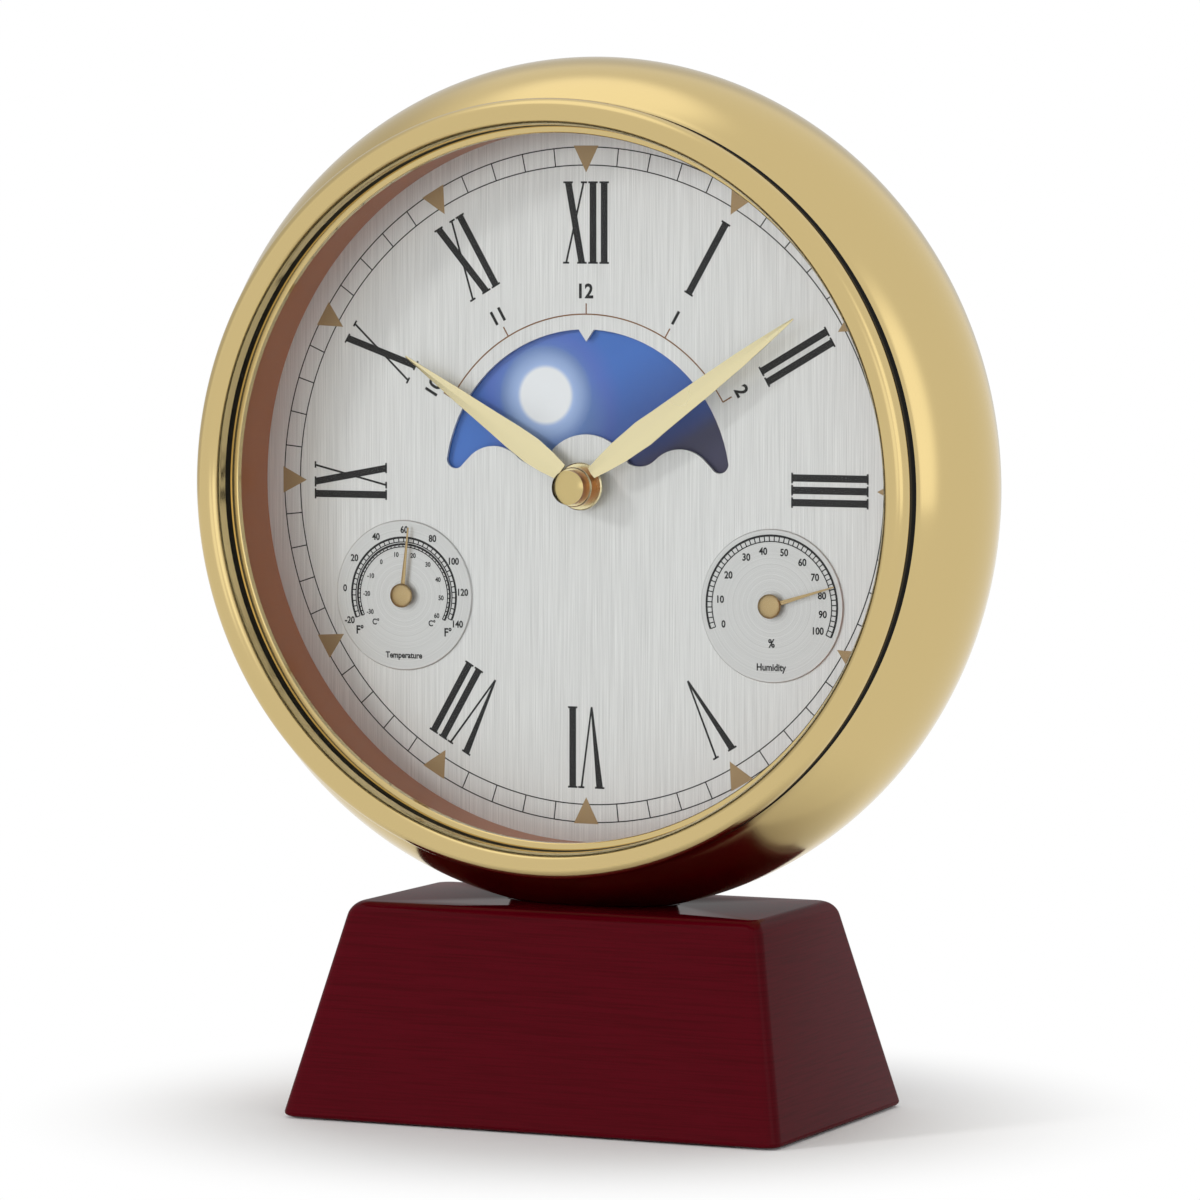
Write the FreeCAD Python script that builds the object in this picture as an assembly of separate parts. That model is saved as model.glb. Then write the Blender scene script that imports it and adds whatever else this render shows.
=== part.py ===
import FreeCAD, Part
import math
import os

# Desk clock with a day and night disc, a thermometer and a hygrometer.
# Millimetres, +Z up, the front looks along -Y. The origin is the centre of the
# felt under the base. The hands turn about an axis along Y at clock_height.
# Places written as (across, up) count from that axis.

vector = FreeCAD.Vector

# Wooden base
base_height = 47.6
base_bottom_width = 120.0
base_bottom_depth = 75.0
base_top_width = 99.2
base_top_depth = 47.4
base_edge_radius = 3.0
base_bottom_edge_radius = 1.2
base_edge_steps = 4
base_edge_share = 0.8
felt_thickness = 1.2
felt_recess = 0.8
felt_inset = 6.0
base_screw_spacing = 24.0
base_screw_radius = 2.0
base_screw_head_radius = 4.0
base_screw_head_height = 2.8
base_screw_sink = 24.0
screw_hole_clearance = 0.2

# Gold drum
drum_radius = 95.0
drum_shoulder_drop = 9.4
drum_half_depth = 19.8
seat_depth = 2.1
seat_clearance = 0.1
shell_wall = 1.5
cove_share = 0.25
neck_wall = 1.5
rear_flange_width = 9.6
saddle_width = 44.0
saddle_depth = 18.0
saddle_thickness = 6.0

# Bezel, glass and the inner wall
bead_radius = 2.9
bead_stand = 4.6
bead_setback = 2.8
bead_overhang = 0.9
lip_cover = 2.9
lip_thickness = 1.8
glass_thickness = 2.0
spacer_length = 13.6
spacer_wall = 1.5
skirt_wall = 1.85
ring_fit = 0.1
retainer_length = 2.0
retainer_wall = 2.4

# Dial and the plate behind it
dial_setback = 4.0
dial_inset = 14.1
dial_thickness = 0.8
dial_center_hole_radius = 4.0
support_thickness = 3.0
disc_pocket_depth = 1.6
support_center_hole_radius = 7.0

# Aperture for the disc
aperture_radius = 34.7
aperture_hub_radius = 11.4
notch_half_width = 1.85
notch_depth = 2.7

# Day and night disc
moon_disc_radius = 36.0
moon_disc_thickness = 0.5
moon_disc_gap = 0.5
pocket_clearance = 0.8

# Hands, as the clock stands in the photograph
minute_hand_angle = 54.4
hour_hand_angle = -56.5
hand_thickness = 0.5
hand_ridge_height = 0.35
hand_tip_half_width = 0.25
minute_hand_length = 64.6
minute_belly_place = 20.8
minute_belly_half_width = 3.0
minute_root_half_width = 1.3
minute_eye_radius = 4.4
hour_hand_length = 51.4
hour_belly_place = 14.0
hour_belly_half_width = 3.05
hour_root_half_width = 1.9
hour_eye_radius = 5.35
hour_collet_radius = 4.1
hour_hand_stand = 3.2
minute_hand_stand = 6.8
hand_cap_radius = 3.8
hand_cap_height = 3.7
hand_cap_dome = 0.8

# Arbors and tubes on the hand axis
minute_arbor_radius = 1.0
hour_tube_radius = 1.9
moon_tube_radius = 2.8
tube_clearance = 0.08
press_clearance = 0.02
hour_tube_stand = 5.4
minute_arbor_stand = 8.7
moon_tube_inset = 0.3

# Movement housing
movement_half_width = 28.0
movement_top = 27.0
movement_bottom = -29.0
movement_wall = 1.5
divider_wall = 1.2
battery_bay_height = 15.5
lug_radius = 4.0
lug_thickness = 2.0
upper_lug_across = 31.0
upper_lug_up = 20.0
lower_lug_across = 16.0
lower_lug_up = -32.0
lug_screw_radius = 1.2
lug_screw_head_radius = 2.5
lug_screw_head_height = 1.2
lug_screw_bite = 1.2
plate_thickness = 1.0
plate_margin = 0.2
corner_post_radius = 1.8
corner_post_inset = 2.4
bridge_post_radius = 1.2
rear_gap = 0.5

# Wheels
motion_module = 0.5
moon_module = 0.6
train_module = 0.4
tooth_addendum_share = 0.6
tooth_dedendum_share = 0.85
tooth_tip_share = 0.24
tooth_root_share = 0.54
cannon_teeth = 10
minute_wheel_teeth = 30
minute_pinion_teeth = 8
hour_wheel_teeth = 32
knob_pinion_teeth = 10
moon_drive_teeth = 12
idler_wheel_teeth = 12
idler_pinion_teeth = 8
moon_wheel_teeth = 16
center_wheel_teeth = 48
third_wheel_teeth = 45
seconds_wheel_teeth = 36
step_wheel_teeth = 30
train_pinion_teeth = 6
wheel_width = 1.0
train_wheel_width = 0.7
level_gap = 0.3
plate_gap = 0.4
stud_radius = 0.8
stud_shoulder_radius = 1.8
train_arbor_radius = 0.5
pivot_clearance = 0.05
center_hub_radius = 1.8

# Directions from one arbor to the next, in degrees from +X towards +Z
minute_wheel_direction = 180.0
knob_direction = 200.0
idler_direction = 0.0
third_direction = 150.0
seconds_direction = 80.0
step_direction = 0.0
rotor_direction = -20.0

# Stepping motor
rotor_magnet_radius = 3.0
rotor_magnet_length = 1.2
rotor_gap = 0.5
stator_left = 2.6
stator_right = 22.5
stator_bottom = 1.5
stator_top = 24.5
stator_arm_width = 4.0
stator_neck_width = 1.1
stator_thickness = 0.8
coil_radius = 2.8
coil_across = 18.5
coil_length = 14.0
core_width = 4.0
core_overlap = 3.5
board_left = 13.2
board_right = 25.5
board_bottom = -10.0
board_top = 1.0
board_thickness = 0.8
chip_size = 4.0
chip_height = 1.0
crystal_radius = 1.0
crystal_length = 6.0
board_margin = 1.2

# Setting knob
knob_shaft_radius = 1.2
knob_radius = 5.0
knob_thickness = 2.6
knob_gap = 0.3
knob_flutes = 12
knob_flute_radius = 0.6

# Battery and its contacts
battery_radius = 7.15
battery_length = 49.3
battery_nub_radius = 2.7
battery_nub_length = 1.2
battery_clearance = 0.65
contact_thickness = 0.4
contact_width = 9.0
contact_height = 10.0
contact_bump_radius = 2.5
contact_gap = 0.15

# Thermometer and hygrometer
instrument_side_gap = 3.3
instrument_up = -25.5
instrument_dial_radius = 16.9
instrument_dial_thickness = 0.5
instrument_dial_hole_radius = 0.9
instrument_cup_radius = 13.5
instrument_cup_depth = 7.5
instrument_cup_wall = 0.8
instrument_hole_clearance = 0.2
instrument_arbor_radius = 0.5
instrument_collet_radius = 1.1
pointer_stand = 1.0
pointer_thickness = 0.3
pointer_root_half_width = 0.55
pointer_tip_half_width = 0.12
pointer_eye_radius = 1.6
pointer_tail = 3.2
pointer_cap_radius = 2.7
pointer_cap_height = 1.0
pointer_cap_dome = 0.5
thermometer_angle = 6.0
thermometer_pointer_length = 15.4
hygrometer_angle = 73.0
hygrometer_pointer_length = 15.8
coil_strip_thickness = 0.3
coil_strip_width = 3.0
coil_strip_gap = 0.1
coil_half_turn_growth = 1.4
coil_half_turns = 7
coil_post_width = 1.6

# Rear cover
cover_inset = 3.6
cover_thickness = 1.2
cover_window_margin = 2.0
cover_screw_radius = 1.2
cover_screw_head_radius = 2.4
cover_screw_head_height = 1.2
cover_screw_length = 4.0
cover_screw_count = 4

# Places worked out from the sizes above
foot_gap = felt_thickness - felt_recess
clock_height = base_height + drum_radius - seat_depth
drum_shoulder_radius = drum_radius - drum_shoulder_drop
dial_radius = drum_radius - dial_inset
lip_inner_radius = dial_radius - lip_cover
rear_opening_radius = drum_shoulder_radius - rear_flange_width
cover_radius = drum_shoulder_radius - cover_inset
cover_screw_circle_radius = (rear_opening_radius + cover_radius) / 2
instrument_across = movement_half_width + instrument_cup_radius + instrument_side_gap

dial_front = -dial_setback
dial_back = dial_front + dial_thickness
support_back = dial_back + support_thickness
glass_back = dial_front - spacer_length
glass_front = glass_back - glass_thickness
lip_front = glass_front - lip_thickness
bead_place = lip_front - bead_stand
bezel_shoulder = bead_place + bead_setback
retainer_back = support_back + retainer_length

glass_seat_radius = dial_radius + ring_fit
skirt_radius = glass_seat_radius + skirt_wall
neck_bore_radius = skirt_radius + ring_fit
neck_front_radius = neck_bore_radius + neck_wall
bead_center_radius = neck_front_radius + bead_overhang - bead_radius
spacer_inner_radius = dial_radius - spacer_wall

barrel_arc_radius = (drum_half_depth ** 2 + drum_shoulder_drop ** 2) / (2 * drum_shoulder_drop)
shell_half_depth = drum_half_depth - shell_wall

front_wall_back = support_back + movement_wall
moon_level = front_wall_back + level_gap
idler_level = moon_level + wheel_width + level_gap
hour_level = idler_level + wheel_width + level_gap
minute_level = hour_level + wheel_width + level_gap
mid_plate_front = minute_level + wheel_width + plate_gap
mid_plate_back = mid_plate_front + plate_thickness
center_level = mid_plate_back + level_gap
third_level = center_level + train_wheel_width + level_gap
seconds_level = third_level + train_wheel_width + level_gap
step_level = seconds_level + train_wheel_width + level_gap
magnet_level = step_level + train_wheel_width + level_gap
bridge_front = magnet_level + rotor_magnet_length + plate_gap
bridge_back = bridge_front + plate_thickness
rear_wall_front = bridge_back + rear_gap
movement_back = rear_wall_front + movement_wall
bay_top = movement_bottom + movement_wall + battery_bay_height
divider_top = bay_top + divider_wall
stator_level = magnet_level + (rotor_magnet_length - stator_thickness) / 2
core_level = stator_level - stator_thickness
inner_half_width = movement_half_width - movement_wall
inner_top = movement_top - movement_wall

cover_back = drum_half_depth + cover_thickness


def step_from(place, distance, direction):
    """Place at a distance and direction (degrees from +X towards +Z) from another."""
    angle = math.radians(direction)
    return (place[0] + distance * math.cos(angle), place[1] + distance * math.sin(angle))


def pair_distance(teeth_a, teeth_b, module):
    """Distance between the arbors of two wheels in mesh."""
    return (teeth_a + teeth_b) * module / 2


hand_axis = (0, 0)
minute_wheel_place = step_from(
    hand_axis, pair_distance(cannon_teeth, minute_wheel_teeth, motion_module), minute_wheel_direction)
knob_place = step_from(
    minute_wheel_place, pair_distance(minute_wheel_teeth, knob_pinion_teeth, motion_module), knob_direction)
idler_place = step_from(
    hand_axis, pair_distance(moon_drive_teeth, idler_wheel_teeth, moon_module), idler_direction)
third_place = step_from(
    hand_axis, pair_distance(center_wheel_teeth, train_pinion_teeth, train_module), third_direction)
seconds_place = step_from(
    third_place, pair_distance(third_wheel_teeth, train_pinion_teeth, train_module), seconds_direction)
step_place = step_from(
    seconds_place, pair_distance(seconds_wheel_teeth, train_pinion_teeth, train_module), step_direction)
rotor_place = step_from(
    step_place, pair_distance(step_wheel_teeth, train_pinion_teeth, train_module), rotor_direction)
bridge_posts = ((-20.0, 12.0), (-20.5, 2.0), (11.2, -5.0), (-2.0, 24.0))
stator_posts = (
    (coil_across, stator_bottom + stator_arm_width / 2),
    (coil_across, stator_top - stator_arm_width / 2),
)


def rod(radius, front, back, place=hand_axis):
    """Round bar along the depth of the clock, from y = front to y = back."""
    base = vector(place[0], front, clock_height + place[1])
    return Part.makeCylinder(radius, back - front, base, vector(0, 1, 0))


def tube(outer_radius, inner_radius, front, back, place=hand_axis):
    """Round tube along the depth of the clock."""
    return rod(outer_radius, front, back, place).cut(rod(inner_radius, front, back, place))


def block(left, right, front, back, bottom, top):
    """Box between planes; left, right, bottom and top count from the hand axis."""
    corner = vector(left, front, clock_height + bottom)
    return Part.makeBox(right - left, back - front, top - bottom, corner)


def joined(first, *others):
    """One solid from pieces that touch or overlap."""
    return first.multiFuse(list(others)).removeSplitter()


class Outline:
    """A closed outline drawn with straight lines and arcs, and made a face."""

    def __init__(self, place, start):
        self.place = place
        self.start = start
        self.here = start
        self.edges = []

    def line(self, *points):
        for point in points:
            self.edges.append(Part.makeLine(self.place(*self.here), self.place(*point)))
            self.here = point
        return self

    def arc(self, via, point):
        curve = Part.Arc(self.place(*self.here), self.place(*via), self.place(*point))
        self.edges.append(curve.toShape())
        self.here = point
        return self

    def wire(self):
        if self.here != self.start:
            self.line(self.start)
        return Part.Wire(self.edges)

    def face(self):
        return Part.Face(self.wire())


def profile_point(radius, depth):
    """Point of a turned profile, in the plane through the hand axis."""
    return vector(radius, depth, clock_height)


def spun(outline):
    """Solid of revolution about the hand axis."""
    return outline.face().revolve(vector(0, 0, clock_height), vector(0, 1, 0), 360)


def plate_point(depth):
    """Maker of points across and up from the hand axis, at one depth."""
    return lambda across, up: vector(across, depth, clock_height + up)


def facet_solid(faces):
    """Solid bounded by flat faces, each a list of corner points."""
    shell = Part.makeShell([Part.Face(Part.makePolygon(corners + corners[:1])) for corners in faces])
    solid = Part.makeSolid(shell)
    if solid.Volume < 0:
        solid.reverse()
    return solid


def domed_cap(radius, height, dome, back, place):
    """Round cap with a domed front, its flat rear at y = back."""
    rim = back - height + dome
    blank = Outline(lambda r, y: vector(place[0] + r, y, clock_height + place[1]), (0, back))
    blank.line((radius, back), (radius, rim))
    # The dome is part of a sphere: its rise at half the radius follows from that.
    sphere = (radius ** 2 + dome ** 2) / (2 * dome)
    half = radius / 2
    rise = math.sqrt(sphere ** 2 - half ** 2) - (sphere - dome)
    blank.arc((half, rim - rise), (0, rim - dome))
    center = vector(place[0], 0, clock_height + place[1])
    return blank.face().revolve(center, vector(0, 1, 0), 360)


def gear(teeth, module, front, back, place, lead):
    """Spur wheel; lead is the direction in degrees of the middle of one tooth."""
    pitch_radius = module * teeth / 2
    tip = pitch_radius + tooth_addendum_share * module
    root = pitch_radius - tooth_dedendum_share * module
    step = 360 / teeth
    corners = (
        (-tooth_root_share / 2, root),
        (-tooth_tip_share / 2, tip),
        (tooth_tip_share / 2, tip),
        (tooth_root_share / 2, root),
    )
    points = []
    for tooth in range(teeth):
        for share, radius in corners:
            across, up = step_from(place, radius, lead + (tooth + share) * step)
            points.append(vector(across, front, clock_height + up))
    face = Part.Face(Part.makePolygon(points + points[:1]))
    return face.extrude(vector(0, back - front, 0))


def meshing_lead(lead, teeth, direction, other_teeth):
    """Lead of the wheel that lies in the given direction, so that its gap meets a tooth."""
    offset = (lead - direction) * teeth / 360
    return direction + 180 + (1 / 2 - offset) * 360 / other_teeth


# Leads of the wheels, from the cannon pinion and the centre wheel outwards
cannon_lead = 0.0
minute_wheel_lead = meshing_lead(cannon_lead, cannon_teeth, minute_wheel_direction, minute_wheel_teeth)
knob_lead = meshing_lead(minute_wheel_lead, minute_wheel_teeth, knob_direction, knob_pinion_teeth)
hour_wheel_lead = 0.0
minute_pinion_lead = meshing_lead(
    hour_wheel_lead, hour_wheel_teeth, minute_wheel_direction, minute_pinion_teeth)
moon_drive_lead = 0.0
idler_wheel_lead = meshing_lead(moon_drive_lead, moon_drive_teeth, idler_direction, idler_wheel_teeth)
moon_wheel_lead = 0.0
idler_pinion_lead = meshing_lead(moon_wheel_lead, moon_wheel_teeth, idler_direction, idler_pinion_teeth)
center_wheel_lead = 0.0
third_pinion_lead = meshing_lead(center_wheel_lead, center_wheel_teeth, third_direction, train_pinion_teeth)
third_wheel_lead = 0.0
seconds_pinion_lead = meshing_lead(third_wheel_lead, third_wheel_teeth, seconds_direction, train_pinion_teeth)
seconds_wheel_lead = 0.0
step_pinion_lead = meshing_lead(seconds_wheel_lead, seconds_wheel_teeth, step_direction, train_pinion_teeth)
step_wheel_lead = 0.0
rotor_pinion_lead = meshing_lead(step_wheel_lead, step_wheel_teeth, rotor_direction, train_pinion_teeth)


def barrel_radius(depth, inset=0):
    """Radius of the barrel at a depth from its crest, or of its inner face at an inset."""
    arc_radius = barrel_arc_radius - inset
    return drum_radius - barrel_arc_radius + math.sqrt(arc_radius ** 2 - depth ** 2)


def barrel_solid(half_depth, inset):
    """Solid barrel between two depths, inset from the outer face of the drum."""
    rim = barrel_radius(half_depth, inset)
    crest = drum_radius - inset
    outline = Outline(profile_point, (0, -half_depth))
    outline.line((rim, -half_depth))
    outline.arc((crest, 0), (rim, half_depth))
    outline.line((0, half_depth))
    return spun(outline)


def rounded_rectangle(width, depth, radius, height):
    """Level outline with rounded corners, centred on the origin."""
    across = width / 2
    away = depth / 2
    bulge = radius * math.sqrt(2) / 2
    outline = Outline(lambda x, y: vector(x, y, height), (radius - across, -away))
    for right, back in ((1, -1), (1, 1), (-1, 1), (-1, -1)):
        center = (right * (across - radius), back * (away - radius))
        corner = (center[0] + right * bulge, center[1] + back * bulge)
        side = (right * across, center[1])
        end = (center[0], back * away)
        if right == -back:
            outline.line(end)
            outline.arc(corner, side)
        else:
            outline.line(side)
            outline.arc(corner, end)
    return outline.wire()


def base_section(height, inset):
    """Outline of the base at a height, drawn in by an inset where its edges are rounded."""
    share = (height - foot_gap) / (base_height - foot_gap)
    width = base_bottom_width + share * (base_top_width - base_bottom_width)
    depth = base_bottom_depth + share * (base_top_depth - base_bottom_depth)
    return rounded_rectangle(width - 2 * inset, depth - 2 * inset, base_edge_radius, height)


def upright_rod(radius, bottom, top, across):
    """Vertical round bar in the middle plane of the base."""
    return Part.makeCylinder(radius, top - bottom, vector(across, 0, bottom))


base_screw_places = (-base_screw_spacing / 2, base_screw_spacing / 2)
base_screw_seat = foot_gap + base_screw_sink
saddle_bottom = clock_height - barrel_radius(0, shell_wall)
saddle_top = saddle_bottom + saddle_thickness


def base_block():
    """Truncated pyramid with rounded edges, a seat for the drum and screw holes."""
    sections = []
    for step in range(base_edge_steps + 1):
        angle = math.radians(90 * step / base_edge_steps)
        inset = base_bottom_edge_radius * (1 - math.sin(angle))
        sections.append(base_section(foot_gap + base_bottom_edge_radius * (1 - math.cos(angle)), inset))
    for step in range(base_edge_steps + 1):
        angle = math.radians(90 * step / base_edge_steps)
        inset = base_edge_radius * base_edge_share * (1 - math.cos(angle))
        sections.append(base_section(base_height - base_edge_radius * (1 - math.sin(angle)), inset))
    body = Part.makeLoft(sections, True, True)
    body = body.cut(felt_pad(felt_thickness))
    body = body.cut(barrel_solid(drum_half_depth, -seat_clearance))
    for across in base_screw_places:
        hole = base_screw_radius + screw_hole_clearance
        sink = base_screw_head_radius + screw_hole_clearance
        body = body.cut(upright_rod(hole, 0, clock_height, across))
        body = body.cut(upright_rod(sink, 0, base_screw_seat, across))
    return body


def felt_pad(thickness):
    """Flat pad set into the underside of the base."""
    width = base_bottom_width - 2 * felt_inset
    depth = base_bottom_depth - 2 * felt_inset
    return Part.makeBox(width, depth, thickness, vector(-width / 2, -depth / 2, 0))


def base_screws():
    """Two screws from the underside of the base into the saddle in the drum."""
    screws = []
    for across in base_screw_places:
        head_bottom = base_screw_seat - base_screw_head_height
        head = upright_rod(base_screw_head_radius, head_bottom, base_screw_seat, across)
        shank = upright_rod(base_screw_radius, base_screw_seat, saddle_top, across)
        screws.append(joined(head, shank))
    return Part.makeCompound(screws)


def mount_saddle():
    """Threaded bar that lies in the bottom of the drum."""
    bar = Part.makeBox(
        saddle_width, saddle_depth, saddle_top - base_height + seat_depth,
        vector(-saddle_width / 2, -saddle_depth / 2, base_height - seat_depth))
    bar = bar.common(barrel_solid(shell_half_depth, shell_wall + press_clearance))
    for across in base_screw_places:
        bar = bar.cut(upright_rod(base_screw_radius + press_clearance, 0, clock_height, across))
    return bar


def case_shell():
    """Spun barrel with a neck for the bezel and an inturned flange at the rear."""
    outer_rim = drum_shoulder_radius
    inner_rim = barrel_radius(shell_half_depth, shell_wall)
    neck_middle = (bezel_shoulder - drum_half_depth) / 2
    cove = neck_front_radius + (outer_rim - neck_front_radius) * cove_share
    outline = Outline(profile_point, (neck_bore_radius, bezel_shoulder))
    outline.line((neck_front_radius, bezel_shoulder))
    outline.arc((cove, neck_middle), (outer_rim, -drum_half_depth))
    outline.arc((drum_radius, 0), (outer_rim, drum_half_depth))
    outline.line((rear_opening_radius, drum_half_depth), (rear_opening_radius, shell_half_depth))
    outline.line((inner_rim, shell_half_depth))
    outline.arc((drum_radius - shell_wall, 0), (inner_rim, -shell_half_depth))
    outline.line((neck_bore_radius, -shell_half_depth))
    shell = spun(outline)
    for across in base_screw_places:
        hole_top = saddle_bottom + shell_wall
        shell = shell.cut(upright_rod(base_screw_radius + screw_hole_clearance, 0, hole_top, across))
    for place in cover_screw_places():
        hole_front = shell_half_depth - shell_wall
        shell = shell.cut(rod(cover_screw_radius, hole_front, drum_half_depth + shell_wall, place))
    return shell


def bezel_ring():
    """Turned ring: round bead, inner lip over the glass, skirt inside the neck."""
    bead_inner = bead_center_radius - bead_radius
    bead_outer = bead_center_radius + bead_radius
    bead_front = bead_place - bead_radius
    outline = Outline(profile_point, (skirt_radius, retainer_back))
    outline.line((skirt_radius, bezel_shoulder), (neck_front_radius, bezel_shoulder))
    outline.line((bead_outer, bead_place))
    outline.arc((bead_center_radius, bead_front), (bead_inner, bead_place))
    outline.line((spacer_inner_radius, lip_front), (lip_inner_radius, lip_front))
    outline.line((lip_inner_radius, glass_front), (glass_seat_radius, glass_front))
    outline.line((glass_seat_radius, retainer_back))
    return spun(outline)


def lens_glass():
    """Flat glass that rests against the lip of the bezel."""
    return rod(dial_radius, glass_front, glass_back)


def spacer_ring():
    """Inner wall that holds the glass off the dial."""
    return tube(dial_radius, spacer_inner_radius, glass_back, dial_front)


def retaining_ring():
    """Ring pressed into the skirt behind the dial support."""
    return tube(dial_radius, dial_radius - retainer_wall, support_back, retainer_back)


# Half of the aperture, as shares of its radius: the foot, the hump beside it, and
# the low point between that hump and the arch over the hands.
aperture_foot_outer_shares = (0.984, 0.153)
aperture_foot_via_shares = (0.930, 0.095)
aperture_foot_inner_shares = (0.873, 0.124)
aperture_hump_start_shares = (0.836, 0.161)
aperture_hump_via_shares = (0.663, 0.2435)
aperture_hump_end_shares = (0.478, 0.170)
aperture_low_via_shares = (0.372, 0.129)
aperture_arch_share = 0.447


def aperture_face(depth):
    """Face of the opening through which the day and night disc shows."""
    def at(shares, side):
        return (side * shares[0] * aperture_radius, shares[1] * aperture_radius)

    notch_up = math.sqrt(aperture_radius ** 2 - notch_half_width ** 2)
    arch_up = aperture_arch_share * aperture_hub_radius
    arch_across = math.sqrt(aperture_hub_radius ** 2 - arch_up ** 2)
    shoulder = math.radians(45)
    diagonal = (aperture_radius * math.cos(shoulder), aperture_radius * math.sin(shoulder))
    foot_angle = math.atan2(aperture_foot_outer_shares[1], aperture_foot_outer_shares[0])
    foot_across = aperture_radius * math.cos(foot_angle)
    foot_up = aperture_radius * math.sin(foot_angle)

    outline = Outline(plate_point(depth), (0, aperture_radius - notch_depth))
    outline.line((notch_half_width, notch_up))
    outline.arc(diagonal, (foot_across, foot_up))
    outline.arc(at(aperture_foot_via_shares, 1), at(aperture_foot_inner_shares, 1))
    outline.line(at(aperture_hump_start_shares, 1))
    outline.arc(at(aperture_hump_via_shares, 1), at(aperture_hump_end_shares, 1))
    outline.arc(at(aperture_low_via_shares, 1), (arch_across, arch_up))
    outline.arc((0, aperture_hub_radius), (-arch_across, arch_up))
    outline.arc(at(aperture_low_via_shares, -1), at(aperture_hump_end_shares, -1))
    outline.arc(at(aperture_hump_via_shares, -1), at(aperture_hump_start_shares, -1))
    outline.line(at(aperture_foot_inner_shares, -1))
    outline.arc(at(aperture_foot_via_shares, -1), (-foot_across, foot_up))
    outline.arc((-diagonal[0], diagonal[1]), (-notch_half_width, notch_up))
    return outline.face()


instrument_places = ((-instrument_across, instrument_up), (instrument_across, instrument_up))
instrument_hole_radius = instrument_cup_radius + instrument_hole_clearance


def dial_plate():
    """Silver dial with the aperture, the hole for the hands and the instrument holes."""
    plate = rod(dial_radius, dial_front, dial_back)
    plate = plate.cut(rod(dial_center_hole_radius, dial_front, dial_back))
    plate = plate.cut(aperture_face(dial_front).extrude(vector(0, dial_thickness, 0)))
    for place in instrument_places:
        plate = plate.cut(rod(instrument_hole_radius, dial_front, dial_back, place))
    return plate


lug_places = (
    (-upper_lug_across, upper_lug_up),
    (upper_lug_across, upper_lug_up),
    (-lower_lug_across, lower_lug_up),
    (lower_lug_across, lower_lug_up),
)


def dial_support():
    """Plate behind the dial, with the pocket for the disc and holes for the instruments."""
    plate = rod(dial_radius, dial_back, support_back)
    plate = plate.cut(rod(moon_disc_radius + pocket_clearance, dial_back, dial_back + disc_pocket_depth))
    plate = plate.cut(rod(support_center_hole_radius, dial_back, support_back))
    for place in instrument_places:
        plate = plate.cut(rod(instrument_hole_radius, dial_back, support_back, place))
    for place in lug_places:
        plate = plate.cut(rod(lug_screw_radius, support_back - lug_screw_bite, support_back, place))
    return plate


def movement_walls(front, back):
    """Outer walls of the movement housing and the wall beside the battery, between two depths."""
    outer = block(-movement_half_width, movement_half_width, front, back, movement_bottom, movement_top)
    floor = movement_bottom + movement_wall
    train_room = block(-inner_half_width, inner_half_width, front, back, divider_top, inner_top)
    battery_room = block(-inner_half_width, inner_half_width, front, back, floor, bay_top)
    return outer.cut(train_room).cut(battery_room)


def corner_posts():
    """Places of the posts that carry the middle plate."""
    across = inner_half_width - corner_post_inset
    low = divider_top + corner_post_inset
    high = inner_top - corner_post_inset
    return ((-across, low), (across, low), (-across, high), (across, high))


def movement_case_front():
    """Front half of the movement housing, with studs, posts and fixing lugs."""
    wall = block(
        -movement_half_width, movement_half_width, support_back, front_wall_back,
        movement_bottom, movement_top)
    pieces = [movement_walls(front_wall_back, mid_plate_back)]
    for place in corner_posts():
        pieces.append(rod(corner_post_radius, front_wall_back, mid_plate_front, place))
    pieces.append(rod(stud_shoulder_radius, front_wall_back, hour_level - level_gap, minute_wheel_place))
    pieces.append(rod(stud_radius, front_wall_back, mid_plate_front, minute_wheel_place))
    pieces.append(rod(stud_radius, front_wall_back, hour_level - level_gap, idler_place))
    pieces.append(rod(knob_shaft_radius, front_wall_back, minute_level - level_gap, knob_place))
    for across, up in lug_places:
        pieces.append(rod(lug_radius, support_back, support_back + lug_thickness, (across, up)))
        if abs(across) > movement_half_width:
            bridge = block(
                min(across, 0), max(across, 0), support_back, front_wall_back,
                up - lug_radius, up + lug_radius)
        else:
            bridge = block(
                across - lug_radius, across + lug_radius, support_back, front_wall_back, up, 0)
        pieces.append(bridge)
    case = joined(wall, *pieces)
    case = case.cut(rod(moon_tube_radius + tube_clearance, support_back, front_wall_back))
    for place in lug_places:
        case = case.cut(rod(lug_screw_radius, support_back, support_back + lug_thickness, place))
    return case


def movement_case_rear():
    """Rear half of the movement housing; the battery bay stays open to the rear."""
    walls = movement_walls(mid_plate_back, movement_back)
    lid = block(
        -movement_half_width, movement_half_width, rear_wall_front, movement_back, bay_top, movement_top)
    case = joined(walls, lid)
    return case.cut(rod(knob_shaft_radius + tube_clearance, rear_wall_front, movement_back, knob_place))


def movement_screws():
    """Four screws through the lugs into the dial support."""
    screws = []
    for place in lug_places:
        seat = support_back + lug_thickness
        head = rod(lug_screw_head_radius, seat, seat + lug_screw_head_height, place)
        shank = rod(lug_screw_radius, support_back - lug_screw_bite, seat, place)
        screws.append(joined(head, shank))
    return Part.makeCompound(screws)


train_places = (third_place, seconds_place, step_place, rotor_place)
pivot_radius = train_arbor_radius + pivot_clearance


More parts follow.
